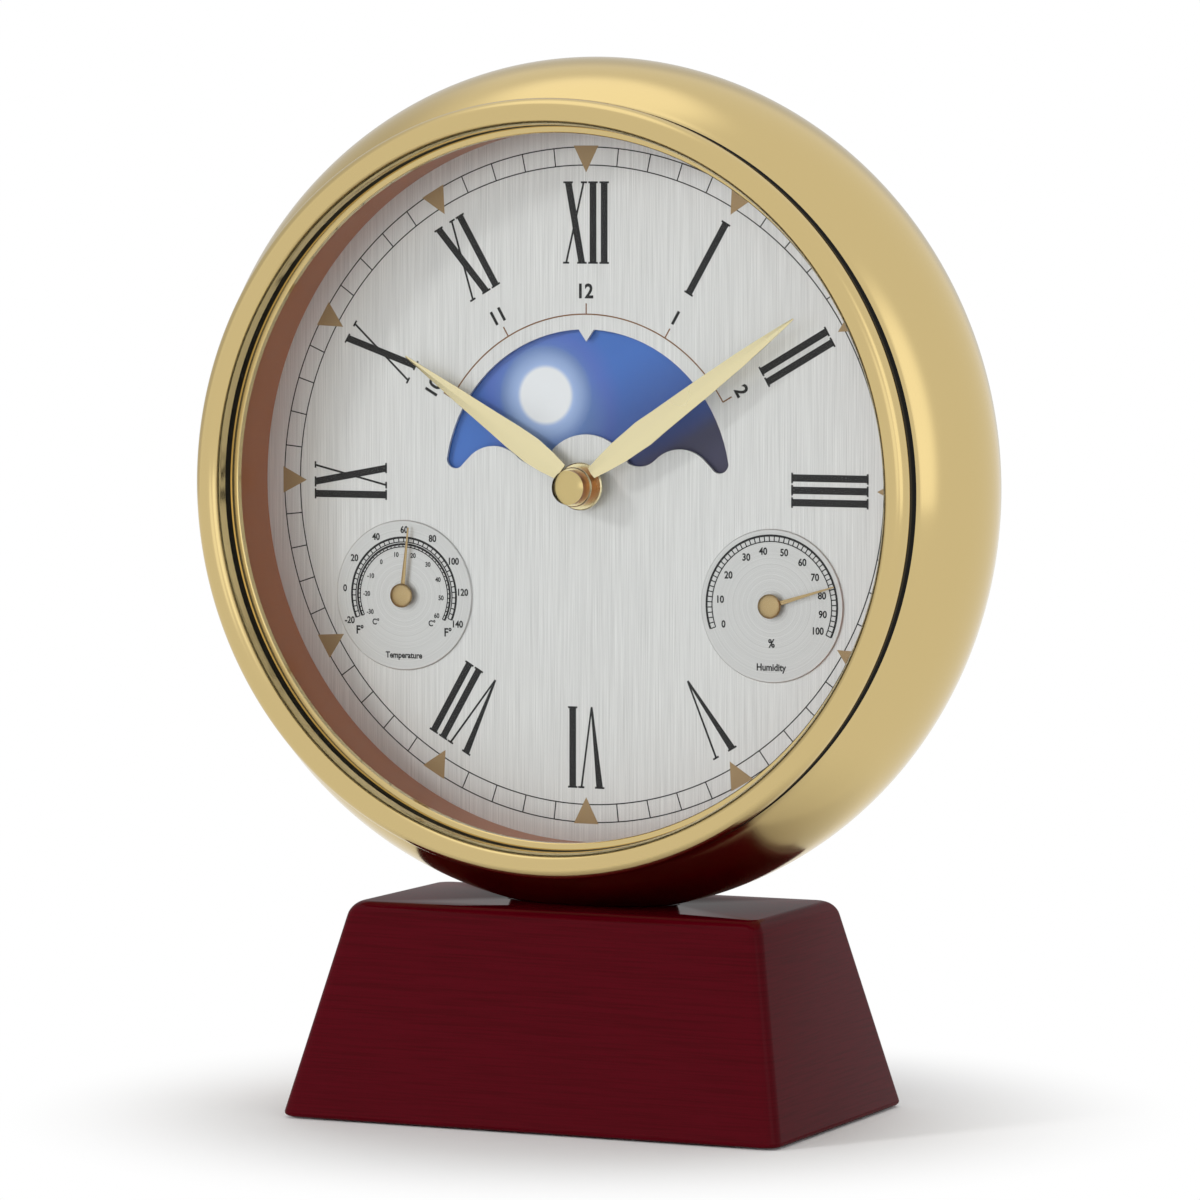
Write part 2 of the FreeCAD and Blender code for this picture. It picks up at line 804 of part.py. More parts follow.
def mid_plate():
    """Plate between the motion work and the going train, with the posts that it carries."""
    plate = block(
        plate_margin - inner_half_width, inner_half_width - plate_margin, mid_plate_front, mid_plate_back,
        divider_top + plate_margin, inner_top - plate_margin)
    posts = [rod(bridge_post_radius, mid_plate_back, bridge_front, place) for place in bridge_posts]
    posts += [rod(bridge_post_radius, mid_plate_back, core_level, place) for place in stator_posts]
    plate = joined(plate, *posts)
    plate = plate.cut(rod(minute_arbor_radius + tube_clearance, mid_plate_front, mid_plate_back))
    plate = plate.cut(rod(knob_shaft_radius + tube_clearance, mid_plate_front, mid_plate_back, knob_place))
    for place in train_places:
        plate = plate.cut(rod(pivot_radius, mid_plate_front, mid_plate_back, place))
    return plate


def train_bridge():
    """Rear plate of the going train."""
    corners = (
        (bridge_posts[1][0] - corner_post_inset, bridge_posts[1][1] - corner_post_inset),
        (bridge_posts[2][0] - corner_post_inset, bridge_posts[2][1] - corner_post_inset),
        (bridge_posts[2][0] + corner_post_inset, bridge_posts[2][1] - corner_post_inset),
        (bridge_posts[2][0] + corner_post_inset, rotor_place[1] + corner_post_inset),
        (bridge_posts[3][0] + corner_post_inset, inner_top - plate_margin),
        (bridge_posts[3][0] - corner_post_inset, inner_top - plate_margin),
        (bridge_posts[0][0] - corner_post_inset, bridge_posts[0][1] + corner_post_inset),
    )
    outline = Outline(plate_point(bridge_front), corners[0])
    outline.line(*corners[1:])
    plate = outline.face().extrude(vector(0, plate_thickness, 0))
    plate = plate.cut(rod(minute_arbor_radius + tube_clearance, bridge_front, bridge_back))
    for place in train_places:
        plate = plate.cut(rod(pivot_radius, bridge_front, bridge_back, place))
    return plate


def minute_arbor():
    """Arbor that carries the minute hand, with the cannon pinion."""
    arbor = rod(minute_arbor_radius, dial_front - minute_arbor_stand, bridge_back)
    pinion = gear(
        cannon_teeth, motion_module, minute_level, minute_level + wheel_width, hand_axis, cannon_lead)
    return joined(arbor, pinion)


def hour_wheel():
    """Hour wheel with its tube and the pinion that drives the day and night disc."""
    sleeve = rod(hour_tube_radius, dial_front - hour_tube_stand, hour_level + wheel_width)
    wheel = gear(
        hour_wheel_teeth, motion_module, hour_level, hour_level + wheel_width, hand_axis, hour_wheel_lead)
    drive = gear(
        moon_drive_teeth, moon_module, idler_level, idler_level + wheel_width, hand_axis, moon_drive_lead)
    bore = rod(minute_arbor_radius + tube_clearance, dial_front - hour_tube_stand, hour_level + wheel_width)
    return joined(sleeve, wheel, drive).cut(bore)


def moon_wheel():
    """Tube and wheel that carry the day and night disc."""
    front = dial_back + moon_tube_inset
    back = moon_level + wheel_width
    sleeve = rod(moon_tube_radius, front, back)
    wheel = gear(moon_wheel_teeth, moon_module, moon_level, back, hand_axis, moon_wheel_lead)
    return joined(sleeve, wheel).cut(rod(hour_tube_radius + tube_clearance, front, back))


def moon_disc():
    """Thin disc with the sun and the moon, pressed on its tube."""
    front = dial_back + moon_disc_gap
    return tube(
        moon_disc_radius, moon_tube_radius + press_clearance, front, front + moon_disc_thickness)


def moon_idler():
    """Wheel and pinion between the hour wheel and the wheel of the disc."""
    pinion = gear(
        idler_pinion_teeth, moon_module, moon_level, idler_level, idler_place, idler_pinion_lead)
    wheel = gear(
        idler_wheel_teeth, moon_module, idler_level, idler_level + wheel_width, idler_place, idler_wheel_lead)
    bore = rod(stud_radius + tube_clearance, moon_level, idler_level + wheel_width, idler_place)
    return joined(pinion, wheel).cut(bore)


def minute_wheel():
    """Wheel and pinion of the motion work, on its stud."""
    pinion = gear(
        minute_pinion_teeth, motion_module, hour_level, minute_level, minute_wheel_place, minute_pinion_lead)
    wheel = gear(
        minute_wheel_teeth, motion_module, minute_level, minute_level + wheel_width,
        minute_wheel_place, minute_wheel_lead)
    bore = rod(stud_radius + tube_clearance, hour_level, minute_level + wheel_width, minute_wheel_place)
    return joined(pinion, wheel).cut(bore)


def set_knob():
    """Setting knob with its shaft and pinion."""
    knob_front = movement_back + knob_gap
    knob_back = knob_front + knob_thickness
    shaft = rod(knob_shaft_radius, minute_level, knob_front, knob_place)
    pinion = gear(
        knob_pinion_teeth, motion_module, minute_level, minute_level + wheel_width, knob_place, knob_lead)
    knob = rod(knob_radius, knob_front, knob_back, knob_place)
    for flute in range(knob_flutes):
        place = step_from(knob_place, knob_radius, flute * 360 / knob_flutes)
        knob = knob.cut(rod(knob_flute_radius, knob_front, knob_back, place))
    return joined(shaft, pinion, knob)


def center_wheel():
    """Wheel that turns the minute arbor by friction."""
    wheel_back = center_level + train_wheel_width
    hub_back = wheel_back + level_gap / 2
    wheel = gear(center_wheel_teeth, train_module, center_level, wheel_back, hand_axis, center_wheel_lead)
    hub = rod(center_hub_radius, center_level, hub_back)
    bore = rod(minute_arbor_radius + pivot_clearance, center_level, hub_back)
    return joined(wheel, hub).cut(bore)


def train_wheel(wheel_teeth, wheel_lead, pinion_lead, level, place):
    """Arbor with a pinion at one level and a wheel at the next."""
    wheel_front = level + train_wheel_width + level_gap
    arbor = rod(train_arbor_radius, mid_plate_front, bridge_back, place)
    pinion = gear(train_pinion_teeth, train_module, level, wheel_front, place, pinion_lead)
    wheel = gear(
        wheel_teeth, train_module, wheel_front, wheel_front + train_wheel_width, place, wheel_lead)
    return joined(arbor, pinion, wheel)


def rotor():
    """Magnet of the stepping motor on its arbor, with a pinion."""
    arbor = rod(train_arbor_radius, mid_plate_front, bridge_back, rotor_place)
    pinion = gear(train_pinion_teeth, train_module, step_level, magnet_level, rotor_place, rotor_pinion_lead)
    magnet = rod(rotor_magnet_radius, magnet_level, magnet_level + rotor_magnet_length, rotor_place)
    return joined(arbor, pinion, magnet)


def stator_plate():
    """Iron plate around the rotor, with two arms to the coil."""
    window_left = rotor_place[0] + rotor_magnet_radius + rotor_gap + stator_neck_width
    back = stator_level + stator_thickness
    plate = block(stator_left, stator_right, stator_level, back, stator_bottom, stator_top)
    plate = plate.cut(block(
        window_left, stator_right, stator_level, back,
        stator_bottom + stator_arm_width, stator_top - stator_arm_width))
    return plate.cut(rod(rotor_magnet_radius + rotor_gap, stator_level, back, rotor_place))


coil_middle = (stator_bottom + stator_top) / 2


def coil_core():
    """Flat iron core that joins the two arms of the stator through the coil."""
    return block(
        coil_across - core_width / 2, coil_across + core_width / 2, core_level, stator_level,
        stator_bottom + stator_arm_width - core_overlap, stator_top - stator_arm_width + core_overlap)


def drive_coil():
    """Winding of the motor around its core."""
    bottom = coil_middle - coil_length / 2
    axis_depth = (core_level + stator_level) / 2
    winding = Part.makeCylinder(
        coil_radius, coil_length, vector(coil_across, axis_depth, clock_height + bottom))
    return winding.cut(coil_core())


def circuit_board():
    """Small board with its chip, on the middle plate."""
    back = mid_plate_back + board_thickness
    board = block(board_left, board_right, mid_plate_back, back, board_bottom, board_top)
    chip_left = board_left + board_margin
    chip_bottom = board_bottom + board_margin
    chip = block(
        chip_left, chip_left + chip_size, back, back + chip_height, chip_bottom, chip_bottom + chip_size)
    return joined(board, chip)


def quartz_crystal():
    """Crystal can that lies on the board."""
    across = board_right - board_margin - crystal_radius
    depth = mid_plate_back + board_thickness + crystal_radius
    bottom = clock_height + board_bottom + board_margin
    return Part.makeCylinder(crystal_radius, crystal_length, vector(across, depth, bottom))


battery_depth = front_wall_back + battery_clearance + battery_radius
battery_up = (movement_bottom + movement_wall + bay_top) / 2


def sideways_rod(radius, left, right):
    """Round bar across the clock, on the battery's axis."""
    base = vector(left, battery_depth, clock_height + battery_up)
    return Part.makeCylinder(radius, right - left, base, vector(1, 0, 0))


battery_left = -(battery_length + battery_nub_length) / 2
battery_right = battery_left + battery_length


def battery():
    """Penlight cell with its positive nub."""
    return joined(
        sideways_rod(battery_radius, battery_left, battery_right),
        sideways_rod(battery_nub_radius, battery_right, battery_right + battery_nub_length))


def battery_contacts():
    """Spring plates at both ends of the bay."""
    contacts = []
    nub_end = battery_right + battery_nub_length
    for side, end in ((-1, battery_left), (1, nub_end)):
        wall = side * inner_half_width
        plate_face = wall - side * contact_thickness
        plate = block(
            min(wall, plate_face), max(wall, plate_face),
            battery_depth - contact_width / 2, battery_depth + contact_width / 2,
            battery_up - contact_height / 2, battery_up + contact_height / 2)
        bump_end = end + side * contact_gap
        bump = sideways_rod(contact_bump_radius, min(plate_face, bump_end), max(plate_face, bump_end))
        contacts.append(joined(plate, bump))
    return Part.makeCompound(contacts)


def turned_hand(shape, angle, place=hand_axis):
    """Turn a piece drawn at 12 o'clock clockwise, seen from the front."""
    shape.rotate(vector(place[0], 0, clock_height + place[1]), vector(0, 1, 0), angle)
    return shape


def ridged_blade(length, belly_place, belly_half_width, root_half_width, back):
    """Leaf-shaped blade at 12 o'clock with a ridge along its middle."""
    edge = back - hand_thickness
    ridge = edge - hand_ridge_height
    half_outline = ((0, root_half_width), (belly_place, belly_half_width), (length, hand_tip_half_width))
    faces = []
    for side in (-1, 1):
        for (up_a, across_a), (up_b, across_b) in zip(half_outline, half_outline[1:]):
            a_back = plate_point(back)(side * across_a, up_a)
            b_back = plate_point(back)(side * across_b, up_b)
            a_edge = plate_point(edge)(side * across_a, up_a)
            b_edge = plate_point(edge)(side * across_b, up_b)
            a_ridge = plate_point(ridge)(0, up_a)
            b_ridge = plate_point(ridge)(0, up_b)
            faces.append([a_back, b_back, b_edge, a_edge])
            faces.append([a_edge, b_edge, a_ridge])
            faces.append([a_ridge, b_edge, b_ridge])
    for up, across in (half_outline[0], half_outline[-1]):
        faces.append([
            plate_point(back)(-across, up), plate_point(edge)(-across, up), plate_point(ridge)(0, up),
            plate_point(edge)(across, up), plate_point(back)(across, up)])
    rim = [plate_point(back)(across, up) for up, across in half_outline]
    rim += [plate_point(back)(-across, up) for up, across in reversed(half_outline)]
    faces.append(rim)
    return facet_solid(faces)


hour_hand_back = dial_front - hour_hand_stand
minute_hand_back = dial_front - minute_hand_stand
minute_hand_front = minute_hand_back - hand_thickness


def hour_hand():
    """Hour hand with its eye and the collet that grips the hour tube."""
    front = hour_hand_back - hand_thickness
    collet_front = minute_hand_back + level_gap
    blade = ridged_blade(
        hour_hand_length, hour_belly_place, hour_belly_half_width, hour_root_half_width, hour_hand_back)
    eye = rod(hour_eye_radius, front, hour_hand_back)
    collet = rod(hour_collet_radius, collet_front, front)
    bore = rod(hour_tube_radius + press_clearance, collet_front, hour_hand_back)
    return turned_hand(joined(blade, eye, collet).cut(bore), hour_hand_angle)


def minute_hand():
    """Minute hand with its eye."""
    blade = ridged_blade(
        minute_hand_length, minute_belly_place, minute_belly_half_width, minute_root_half_width,
        minute_hand_back)
    eye = rod(minute_eye_radius, minute_hand_front, minute_hand_back)
    blade = blade.cut(rod(hand_cap_radius, minute_hand_front - hand_cap_height, minute_hand_front))
    bore = rod(minute_arbor_radius + press_clearance, minute_hand_front, minute_hand_back)
    return turned_hand(joined(blade, eye).cut(bore), minute_hand_angle)


def hand_cap():
    """Domed cap on the end of the minute arbor."""
    cap = domed_cap(hand_cap_radius, hand_cap_height, hand_cap_dome, minute_hand_front, hand_axis)
    bore = rod(minute_arbor_radius + press_clearance, dial_front - minute_arbor_stand, minute_hand_front)
    return cap.cut(bore)


pointer_back = dial_front - instrument_dial_thickness - pointer_stand
pointer_front = pointer_back - pointer_thickness
cup_back = dial_front + instrument_cup_depth
cup_floor = cup_back - instrument_cup_wall
cup_middle = (dial_front + cup_floor) / 2


def instrument_dial(place):
    """Thin round scale plate that lies on the dial."""
    front = dial_front - instrument_dial_thickness
    return tube(instrument_dial_radius, instrument_dial_hole_radius, front, dial_front, place)


def instrument_cup(place):
    """Cup behind the scale plate, with the pivot and the post for the coil."""
    cup = rod(instrument_cup_radius, dial_front, cup_back, place)
    cup = cup.cut(rod(instrument_cup_radius - instrument_cup_wall, dial_front, cup_floor, place))
    inner = instrument_cup_radius - instrument_cup_wall
    coil_end = instrument_collet_radius + coil_strip_gap + (coil_half_turns - 1) * coil_half_turn_growth
    post = block(
        place[0] - inner - instrument_cup_wall / 2, place[0] - coil_end, cup_middle, cup_floor,
        place[1] - coil_post_width / 2, place[1])
    return joined(cup, post).cut(rod(instrument_arbor_radius + pivot_clearance, cup_floor, cup_back, place))


def instrument_coil(place):
    """Spiral strip of half turns that grow by one step each."""
    front = cup_middle - coil_strip_width / 2
    start_radius = instrument_collet_radius + coil_strip_gap
    reach = []
    for turn in range(coil_half_turns):
        radius = start_radius + turn * coil_half_turn_growth
        center = 0 if turn % 2 == 0 else coil_half_turn_growth
        side = 1 if turn % 2 == 0 else -1
        reach.append((center, side, radius))

    def place_point(across, up):
        return vector(place[0] + across, front, clock_height + place[1] + up)

    outline = Outline(place_point, (start_radius, 0))
    for center, side, radius in reach:
        outline.arc((center, side * radius), (center - side * radius, 0))
    outline.line((center - side * (radius + coil_strip_thickness), 0))
    for center, side, radius in reversed(reach):
        outer = radius + coil_strip_thickness
        outline.arc((center, side * outer), (center + side * outer, 0))
    return outline.face().extrude(vector(0, coil_strip_width, 0))


def instrument_arbor(place):
    """Arbor of a pointer, with the collet inside the coil."""
    arbor = rod(instrument_arbor_radius, pointer_front - pointer_cap_height / 2, cup_back, place)
    collet = rod(
        instrument_collet_radius, cup_middle - coil_strip_width / 2, cup_middle + coil_strip_width / 2, place)
    return joined(arbor, collet)


def instrument_pointer(place, length, angle):
    """Thin pointer with a round eye and a short tail."""
    outline = Outline(
        lambda across, up: vector(place[0] + across, pointer_front, clock_height + place[1] + up),
        (-pointer_root_half_width, -pointer_tail))
    outline.line(
        (pointer_root_half_width, -pointer_tail), (pointer_root_half_width, 0),
        (pointer_tip_half_width, length), (-pointer_tip_half_width, length), (-pointer_root_half_width, 0))
    blade = outline.face().extrude(vector(0, pointer_thickness, 0))
    eye = rod(pointer_eye_radius, pointer_front, pointer_back, place)
    bore = rod(instrument_arbor_radius + press_clearance, pointer_front, pointer_back, place)
    return turned_hand(joined(blade, eye).cut(bore), angle, place)


def instrument_cap(place):
    """Small domed cap over the pointer's eye."""
    cap = domed_cap(pointer_cap_radius, pointer_cap_height, pointer_cap_dome, pointer_front, place)
    bore = rod(
        instrument_arbor_radius + press_clearance, pointer_front - pointer_cap_height / 2,
        pointer_front, place)
    return cap.cut(bore)


def cover_screw_places():
    """Places of the screws that hold the rear cover."""
    step = 360 / cover_screw_count
    turns = [(turn + 1 / 2) * step for turn in range(cover_screw_count)]
    return [step_from(hand_axis, cover_screw_circle_radius, turn) for turn in turns]


def rear_cover():
    """Round cover with a window on the back of the movement."""
    cover = rod(cover_radius, drum_half_depth, cover_back)
    half = movement_half_width + cover_window_margin
    cover = cover.cut(block(
        -half, half, drum_half_depth, cover_back,
        movement_bottom - cover_window_margin, movement_top + cover_window_margin))
    for place in cover_screw_places():
        cover = cover.cut(rod(cover_screw_radius, drum_half_depth, cover_back, place))
    return cover


def cover_screws():
    """Screws through the cover into the rear flange of the drum."""
    screws = []
    for place in cover_screw_places():
        head = rod(cover_screw_head_radius, cover_back, cover_back + cover_screw_head_height, place)
        shank = rod(cover_screw_radius, cover_back - cover_screw_length, cover_back, place)
        screws.append(joined(head, shank))
    return Part.makeCompound(screws)


def make_instrument(name, place, length, angle):
    """Nodes of one small instrument."""
    return {
        name + "_dial": instrument_dial(place),
        name + "_cup": instrument_cup(place),
        name + "_coil": instrument_coil(place),
        name + "_arbor": instrument_arbor(place),
        name + "_pointer": instrument_pointer(place, length, angle),
        name + "_cap": instrument_cap(place),
    }


def make_clock():
    """Every node of the clock by name."""
    nodes = {
        "base_block": base_block(),
        "base_felt": felt_pad(felt_thickness),
        "base_screws": base_screws(),
        "mount_saddle": mount_saddle(),
        "case_shell": case_shell(),
        "bezel_ring": bezel_ring(),
        "lens_glass": lens_glass(),
        "spacer_ring": spacer_ring(),
        "dial_plate": dial_plate(),
        "dial_support": dial_support(),
        "retaining_ring": retaining_ring(),
        "movement_case_front": movement_case_front(),
        "movement_case_rear": movement_case_rear(),
        "movement_screws": movement_screws(),
        "mid_plate": mid_plate(),
        "train_bridge": train_bridge(),
        "stator_plate": stator_plate(),
        "coil_core": coil_core(),
        "drive_coil": drive_coil(),
        "circuit_board": circuit_board(),
        "quartz_crystal": quartz_crystal(),
        "rotor": rotor(),
        "step_wheel": train_wheel(
            step_wheel_teeth, step_wheel_lead, step_pinion_lead, seconds_level, step_place),
        "seconds_wheel": train_wheel(
            seconds_wheel_teeth, seconds_wheel_lead, seconds_pinion_lead, third_level, seconds_place),
        "third_wheel": train_wheel(
            third_wheel_teeth, third_wheel_lead, third_pinion_lead, center_level, third_place),
        "center_wheel": center_wheel(),
        "minute_arbor": minute_arbor(),
        "minute_wheel": minute_wheel(),
        "hour_wheel": hour_wheel(),
        "moon_idler": moon_idler(),
        "moon_wheel": moon_wheel(),
        "moon_disc": moon_disc(),
        "set_knob": set_knob(),
        "hour_hand": hour_hand(),
        "minute_hand": minute_hand(),
        "hand_cap": hand_cap(),
        "battery": battery(),
        "battery_contacts": battery_contacts(),
        "rear_cover": rear_cover(),
        "cover_screws": cover_screws(),
    }
    nodes.update(make_instrument(
        "thermometer", instrument_places[0], thermometer_pointer_length, thermometer_angle))
    nodes.update(make_instrument(
        "hygrometer", instrument_places[1], hygrometer_pointer_length, hygrometer_angle))
    return nodes


os.makedirs("parts", exist_ok=True)
for node_name, node_shape in make_clock().items():
    node_shape.exportStep("parts/" + node_name + ".step")
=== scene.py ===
"""Studio scene of a barrel-shaped gold desk clock on a lacquered wooden base.

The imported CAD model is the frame. The sub-assemblies below dress it: turned gold
pieces, the printed dial, hands, small instruments, the wooden base and the rear.
Lengths in the classes are millimetres in the row frame and become metres in the mesh.
A place on the dial is (x, z) from the hand axis, a profile is (radius, depth), and a
smaller depth lies further to the front. Angles are in degrees, clockwise from 12.
"""

import logging
import math
from dataclasses import dataclass, field
from enum import Enum
from typing import Any, Callable, Iterable, Optional, Sequence, Union

import bmesh
import bpy
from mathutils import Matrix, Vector

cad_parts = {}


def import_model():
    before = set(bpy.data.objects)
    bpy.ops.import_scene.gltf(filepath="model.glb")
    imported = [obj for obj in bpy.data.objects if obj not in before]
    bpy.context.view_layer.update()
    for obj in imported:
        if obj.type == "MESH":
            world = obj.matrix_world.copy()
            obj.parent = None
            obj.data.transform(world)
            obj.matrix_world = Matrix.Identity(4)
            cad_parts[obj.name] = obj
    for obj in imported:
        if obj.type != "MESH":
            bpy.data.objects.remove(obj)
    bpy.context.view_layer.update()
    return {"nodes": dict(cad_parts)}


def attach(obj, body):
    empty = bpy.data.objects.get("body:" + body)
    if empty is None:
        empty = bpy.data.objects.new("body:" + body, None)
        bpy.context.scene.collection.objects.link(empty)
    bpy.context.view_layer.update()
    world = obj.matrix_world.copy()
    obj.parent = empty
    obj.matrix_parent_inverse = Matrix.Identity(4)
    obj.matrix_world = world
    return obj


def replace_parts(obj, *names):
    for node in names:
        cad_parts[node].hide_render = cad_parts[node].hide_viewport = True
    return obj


LOG = logging.getLogger("desk_clock")

MM = 0.001
AXIS_Z = 140.5
DIAL_Y = -4.0
PRINT = 0.03
TICK_LIFT = 0.004
MERGE_DISTANCE = 1e-8
POLE_RADIUS = 1e-9
HAIR = 0.01
SMOOTH = 35.0
RIDGE_WIDTH = 1.8
WHITE = (1.0, 1.0, 1.0)

Point2 = tuple[float, float]
Point3 = tuple[float, float, float]
Outline = Sequence[Point2]
Stops = Sequence[tuple[float, Point3]]
Socket = bpy.types.NodeSocket
Object = bpy.types.Object


@dataclass
class Net:
    """Adds the nodes of one tree and links them as they are made."""

    tree: bpy.types.NodeTree

    def feed(self, node: bpy.types.Node, inputs: dict) -> None:
        """Set or link inputs of a node.

        Args:
            node: The node.
            inputs: Values or sockets by the input's name or number.
        """
        for name, value in inputs.items():
            if isinstance(value, Socket):
                self.tree.links.new(value, node.inputs[name])
            else:
                node.inputs[name].default_value = value

    def add(self, kind: str, inputs: Optional[dict] = None, output: Any = 0, **settings: Any) -> Socket:
        """Add a node.

        Args:
            kind: Type of the node.
            inputs: Values or sockets by the input's name or number.
            output: Name or number of the output that is wanted.
            settings: Values of its own properties.

        Returns:
            The output.
        """
        node = self.tree.nodes.new(kind)
        for name, value in settings.items():
            setattr(node, name, value)
        self.feed(node, inputs or {})
        return node.outputs[output]

    def math(self, operation: str, *values: Any) -> Socket:
        """Return the result of a calculation with numbers."""
        return self.add("ShaderNodeMath", dict(enumerate(values)), operation=operation)

    def vector(self, operation: str, *values: Any) -> Socket:
        """Return the result of a calculation with vectors."""
        output = "Value" if operation in ("LENGTH", "DOT_PRODUCT") else "Vector"
        return self.add("ShaderNodeVectorMath", dict(enumerate(values)), output, operation=operation)

    def place(self, kind: str = "Object") -> Socket:
        """Return the coordinates of one kind."""
        return self.add("ShaderNodeTexCoord", output=kind)

    def distance(self, center: Point2, scale: float) -> Socket:
        """Return the distance from a line along the depth, in metres times the scale."""
        shift = self.vector("SUBTRACT", self.place(), (center[0] * MM, 0.0, (AXIS_Z + center[1]) * MM))
        return self.vector("LENGTH", self.vector("MULTIPLY", shift, (scale, 0.0, scale)))

    def noise(self, place: Socket, scale: Point3, detail: float) -> Socket:
        """Return stretched noise with its waves to a metre and number of finer layers."""
        stretched = self.add("ShaderNodeMapping", {"Vector": place, "Scale": scale})
        return self.add("ShaderNodeTexNoise", {"Vector": stretched, "Scale": 1.0, "Detail": detail})

    def ramp(self, value: Socket, stops: Stops) -> Socket:
        """Turn a value from 0 to 1 into a colour.

        Args:
            value: The value.
            stops: Each a value with its linear colour.

        Returns:
            The colour.
        """
        color = self.add("ShaderNodeValToRGB", {"Fac": value})
        elements = color.node.color_ramp.elements
        while len(elements) < len(stops):
            elements.new(0.5)
        for element, (position, tone) in zip(elements, stops):
            element.position = position
            element.color = (*tone, 1.0)
        return color

    def mix(self, share: Socket, first: Socket, second: Socket) -> Socket:
        """Return the mix of two shaders with a share of the second."""
        return self.add("ShaderNodeMixShader", {0: share, 1: first, 2: second})

    def glow(self, strength: float) -> Socket:
        """Return a white emission."""
        return self.add("ShaderNodeEmission", {"Strength": strength})

    def fade(self, length: Socket, start: float, end: float) -> Socket:
        """Return a smooth step from 0 at the start to 1 at the end."""
        ends = {"Value": length, "From Min": start, "From Max": end}
        return self.add("ShaderNodeMapRange", ends, interpolation_type="SMOOTHSTEP")

    def seen(self) -> Socket:
        """Tell what is looked at from what only lights.

        Returns:
            1 for camera, transmission and glossy rays, and 0 for all others.
        """
        path = self.add("ShaderNodeLightPath").node.outputs
        direct = self.math("MAXIMUM", path["Is Camera Ray"], path["Is Transmission Ray"])
        return self.math("MAXIMUM", direct, path["Is Glossy Ray"])

    def finish(self, surface: Socket) -> None:
        """Make a shader the surface of the material."""
        self.feed(self.tree.nodes["Material Output"], {"Surface": surface})


def new_material(name: str) -> tuple[bpy.types.Material, Net, bpy.types.Node]:
    """Make a material with nodes.

    Args:
        name: Name of the material.

    Returns:
        The material, its net and its Principled BSDF node.
    """
    material = bpy.data.materials.new(name)
    material.use_nodes = True
    return material, Net(material.node_tree), material.node_tree.nodes["Principled BSDF"]


class Grain(Enum):
    """Fine structure of a finish."""

    NONE = "none"
    WEAR = "wear"
    UPRIGHT_BRUSH = "upright_brush"
    ROUND_BRUSH = "round_brush"
    WOOD = "wood"
    FELT = "felt"


@dataclass(frozen=True)
class Streaks:
    """Streaks of a grain, long along the smallest scale."""

    scale: Point3  # waves to a metre
    relief: float  # strength of the bump
    low: float  # noise that has the second tone
    high: float  # noise that has the first tone


STREAKS = {
    Grain.ROUND_BRUSH: Streaks((3200.0, 1.0, 1.0), 0.08, 0.0, 1.0),
    Grain.UPRIGHT_BRUSH: Streaks((6200.0, 6200.0, 50.0), 0.05, 0.177419, 0.822581),
    Grain.WOOD: Streaks((55.0, 55.0, 2400.0), 0.0, 0.30, 0.58),
    Grain.FELT: Streaks((2500.0, 2500.0, 2500.0), 0.4, 0.1, 0.9),
}
STREAK_DETAIL = 3.0
BUMP_DISTANCE = 0.0002
WEAR_SCALE = (60.0, 60.0, 60.0)
WEAR_DETAIL = 6.0
WEAR_RANGE = (0.85, 1.2)
COAT_ROUGHNESS = 0.03


@dataclass(frozen=True)
class Finish:
    """One procedural material with linear colours."""

    name: str
    color: Point3
    metallic: float = 0.0
    roughness: float = 0.4
    grain: Grain = Grain.NONE
    second: Point3 = (0.0, 0.0, 0.0)  # the grain's other tone
    coat: float = 0.0  # weight of the clear coat
    coat_ior: float = 1.5
    specular: float = 0.5
    center: Point2 = (0.0, 0.0)  # middle of a round brush on the dial

    def material(self) -> bpy.types.Material:
        """Return the Blender material, made on first use.

        Returns:
            The material with its node tree.
        """
        known = bpy.data.materials.get(self.name)
        if known:
            return known
        material, net, shader = new_material(self.name)
        net.feed(shader, {
            "Base Color": (*self.color, 1.0), "Metallic": self.metallic, "Roughness": self.roughness,
            "Coat Weight": self.coat, "Coat IOR": self.coat_ior, "Coat Roughness": COAT_ROUGHNESS,
            "Specular IOR Level": self.specular})
        if self.grain is Grain.WEAR:
            low, high = (self.roughness * share for share in WEAR_RANGE)
            wear = {"Value": net.noise(net.place(), WEAR_SCALE, WEAR_DETAIL), "To Min": low, "To Max": high}
            net.feed(shader, {"Roughness": net.add("ShaderNodeMapRange", wear)})
        elif self.grain is not Grain.NONE:
            self._streaks(net, shader)
        return material

    def _streaks(self, net: Net, shader: bpy.types.Node) -> None:
        """Add the grain's streaks in colour and relief.

        Args:
            net: Net of the material.
            shader: Its Principled BSDF node.
        """
        kind = STREAKS[self.grain]
        if self.grain is Grain.ROUND_BRUSH:
            place = net.add("ShaderNodeCombineXYZ", {0: net.distance(self.center, 1.0)})
        else:
            place = net.place()
        noise = net.noise(place, kind.scale, STREAK_DETAIL)
        net.feed(shader, {"Base Color": net.ramp(noise, ((kind.low, self.second), (kind.high, self.color)))})
        if kind.relief:
            bump = {"Height": noise, "Strength": kind.relief, "Distance": BUMP_DISTANCE}
            net.feed(shader, {"Normal": net.add("ShaderNodeBump", bump)})


@dataclass(frozen=True)
class ClearGlass:
    """Thin clear glass: see-through with a weak reflection that grows at the edge."""

    name: str = "glass_clear"
    tint: Point3 = (0.985, 0.99, 0.985)  # linear colour of what is seen through it
    ior: float = 1.12  # refraction that sets the reflection

    def material(self) -> bpy.types.Material:
        """Return the material.

        Returns:
            The material with its node tree.
        """
        material, net, shader = new_material(self.name)
        net.tree.nodes.remove(shader)
        clear = net.add("ShaderNodeBsdfTransparent", {"Color": (*self.tint, 1.0)})
        gloss = net.add("ShaderNodeBsdfGlossy", {"Roughness": 0.0})
        net.finish(net.mix(net.add("ShaderNodeFresnel", {"IOR": self.ior}), clear, gloss))
        return material


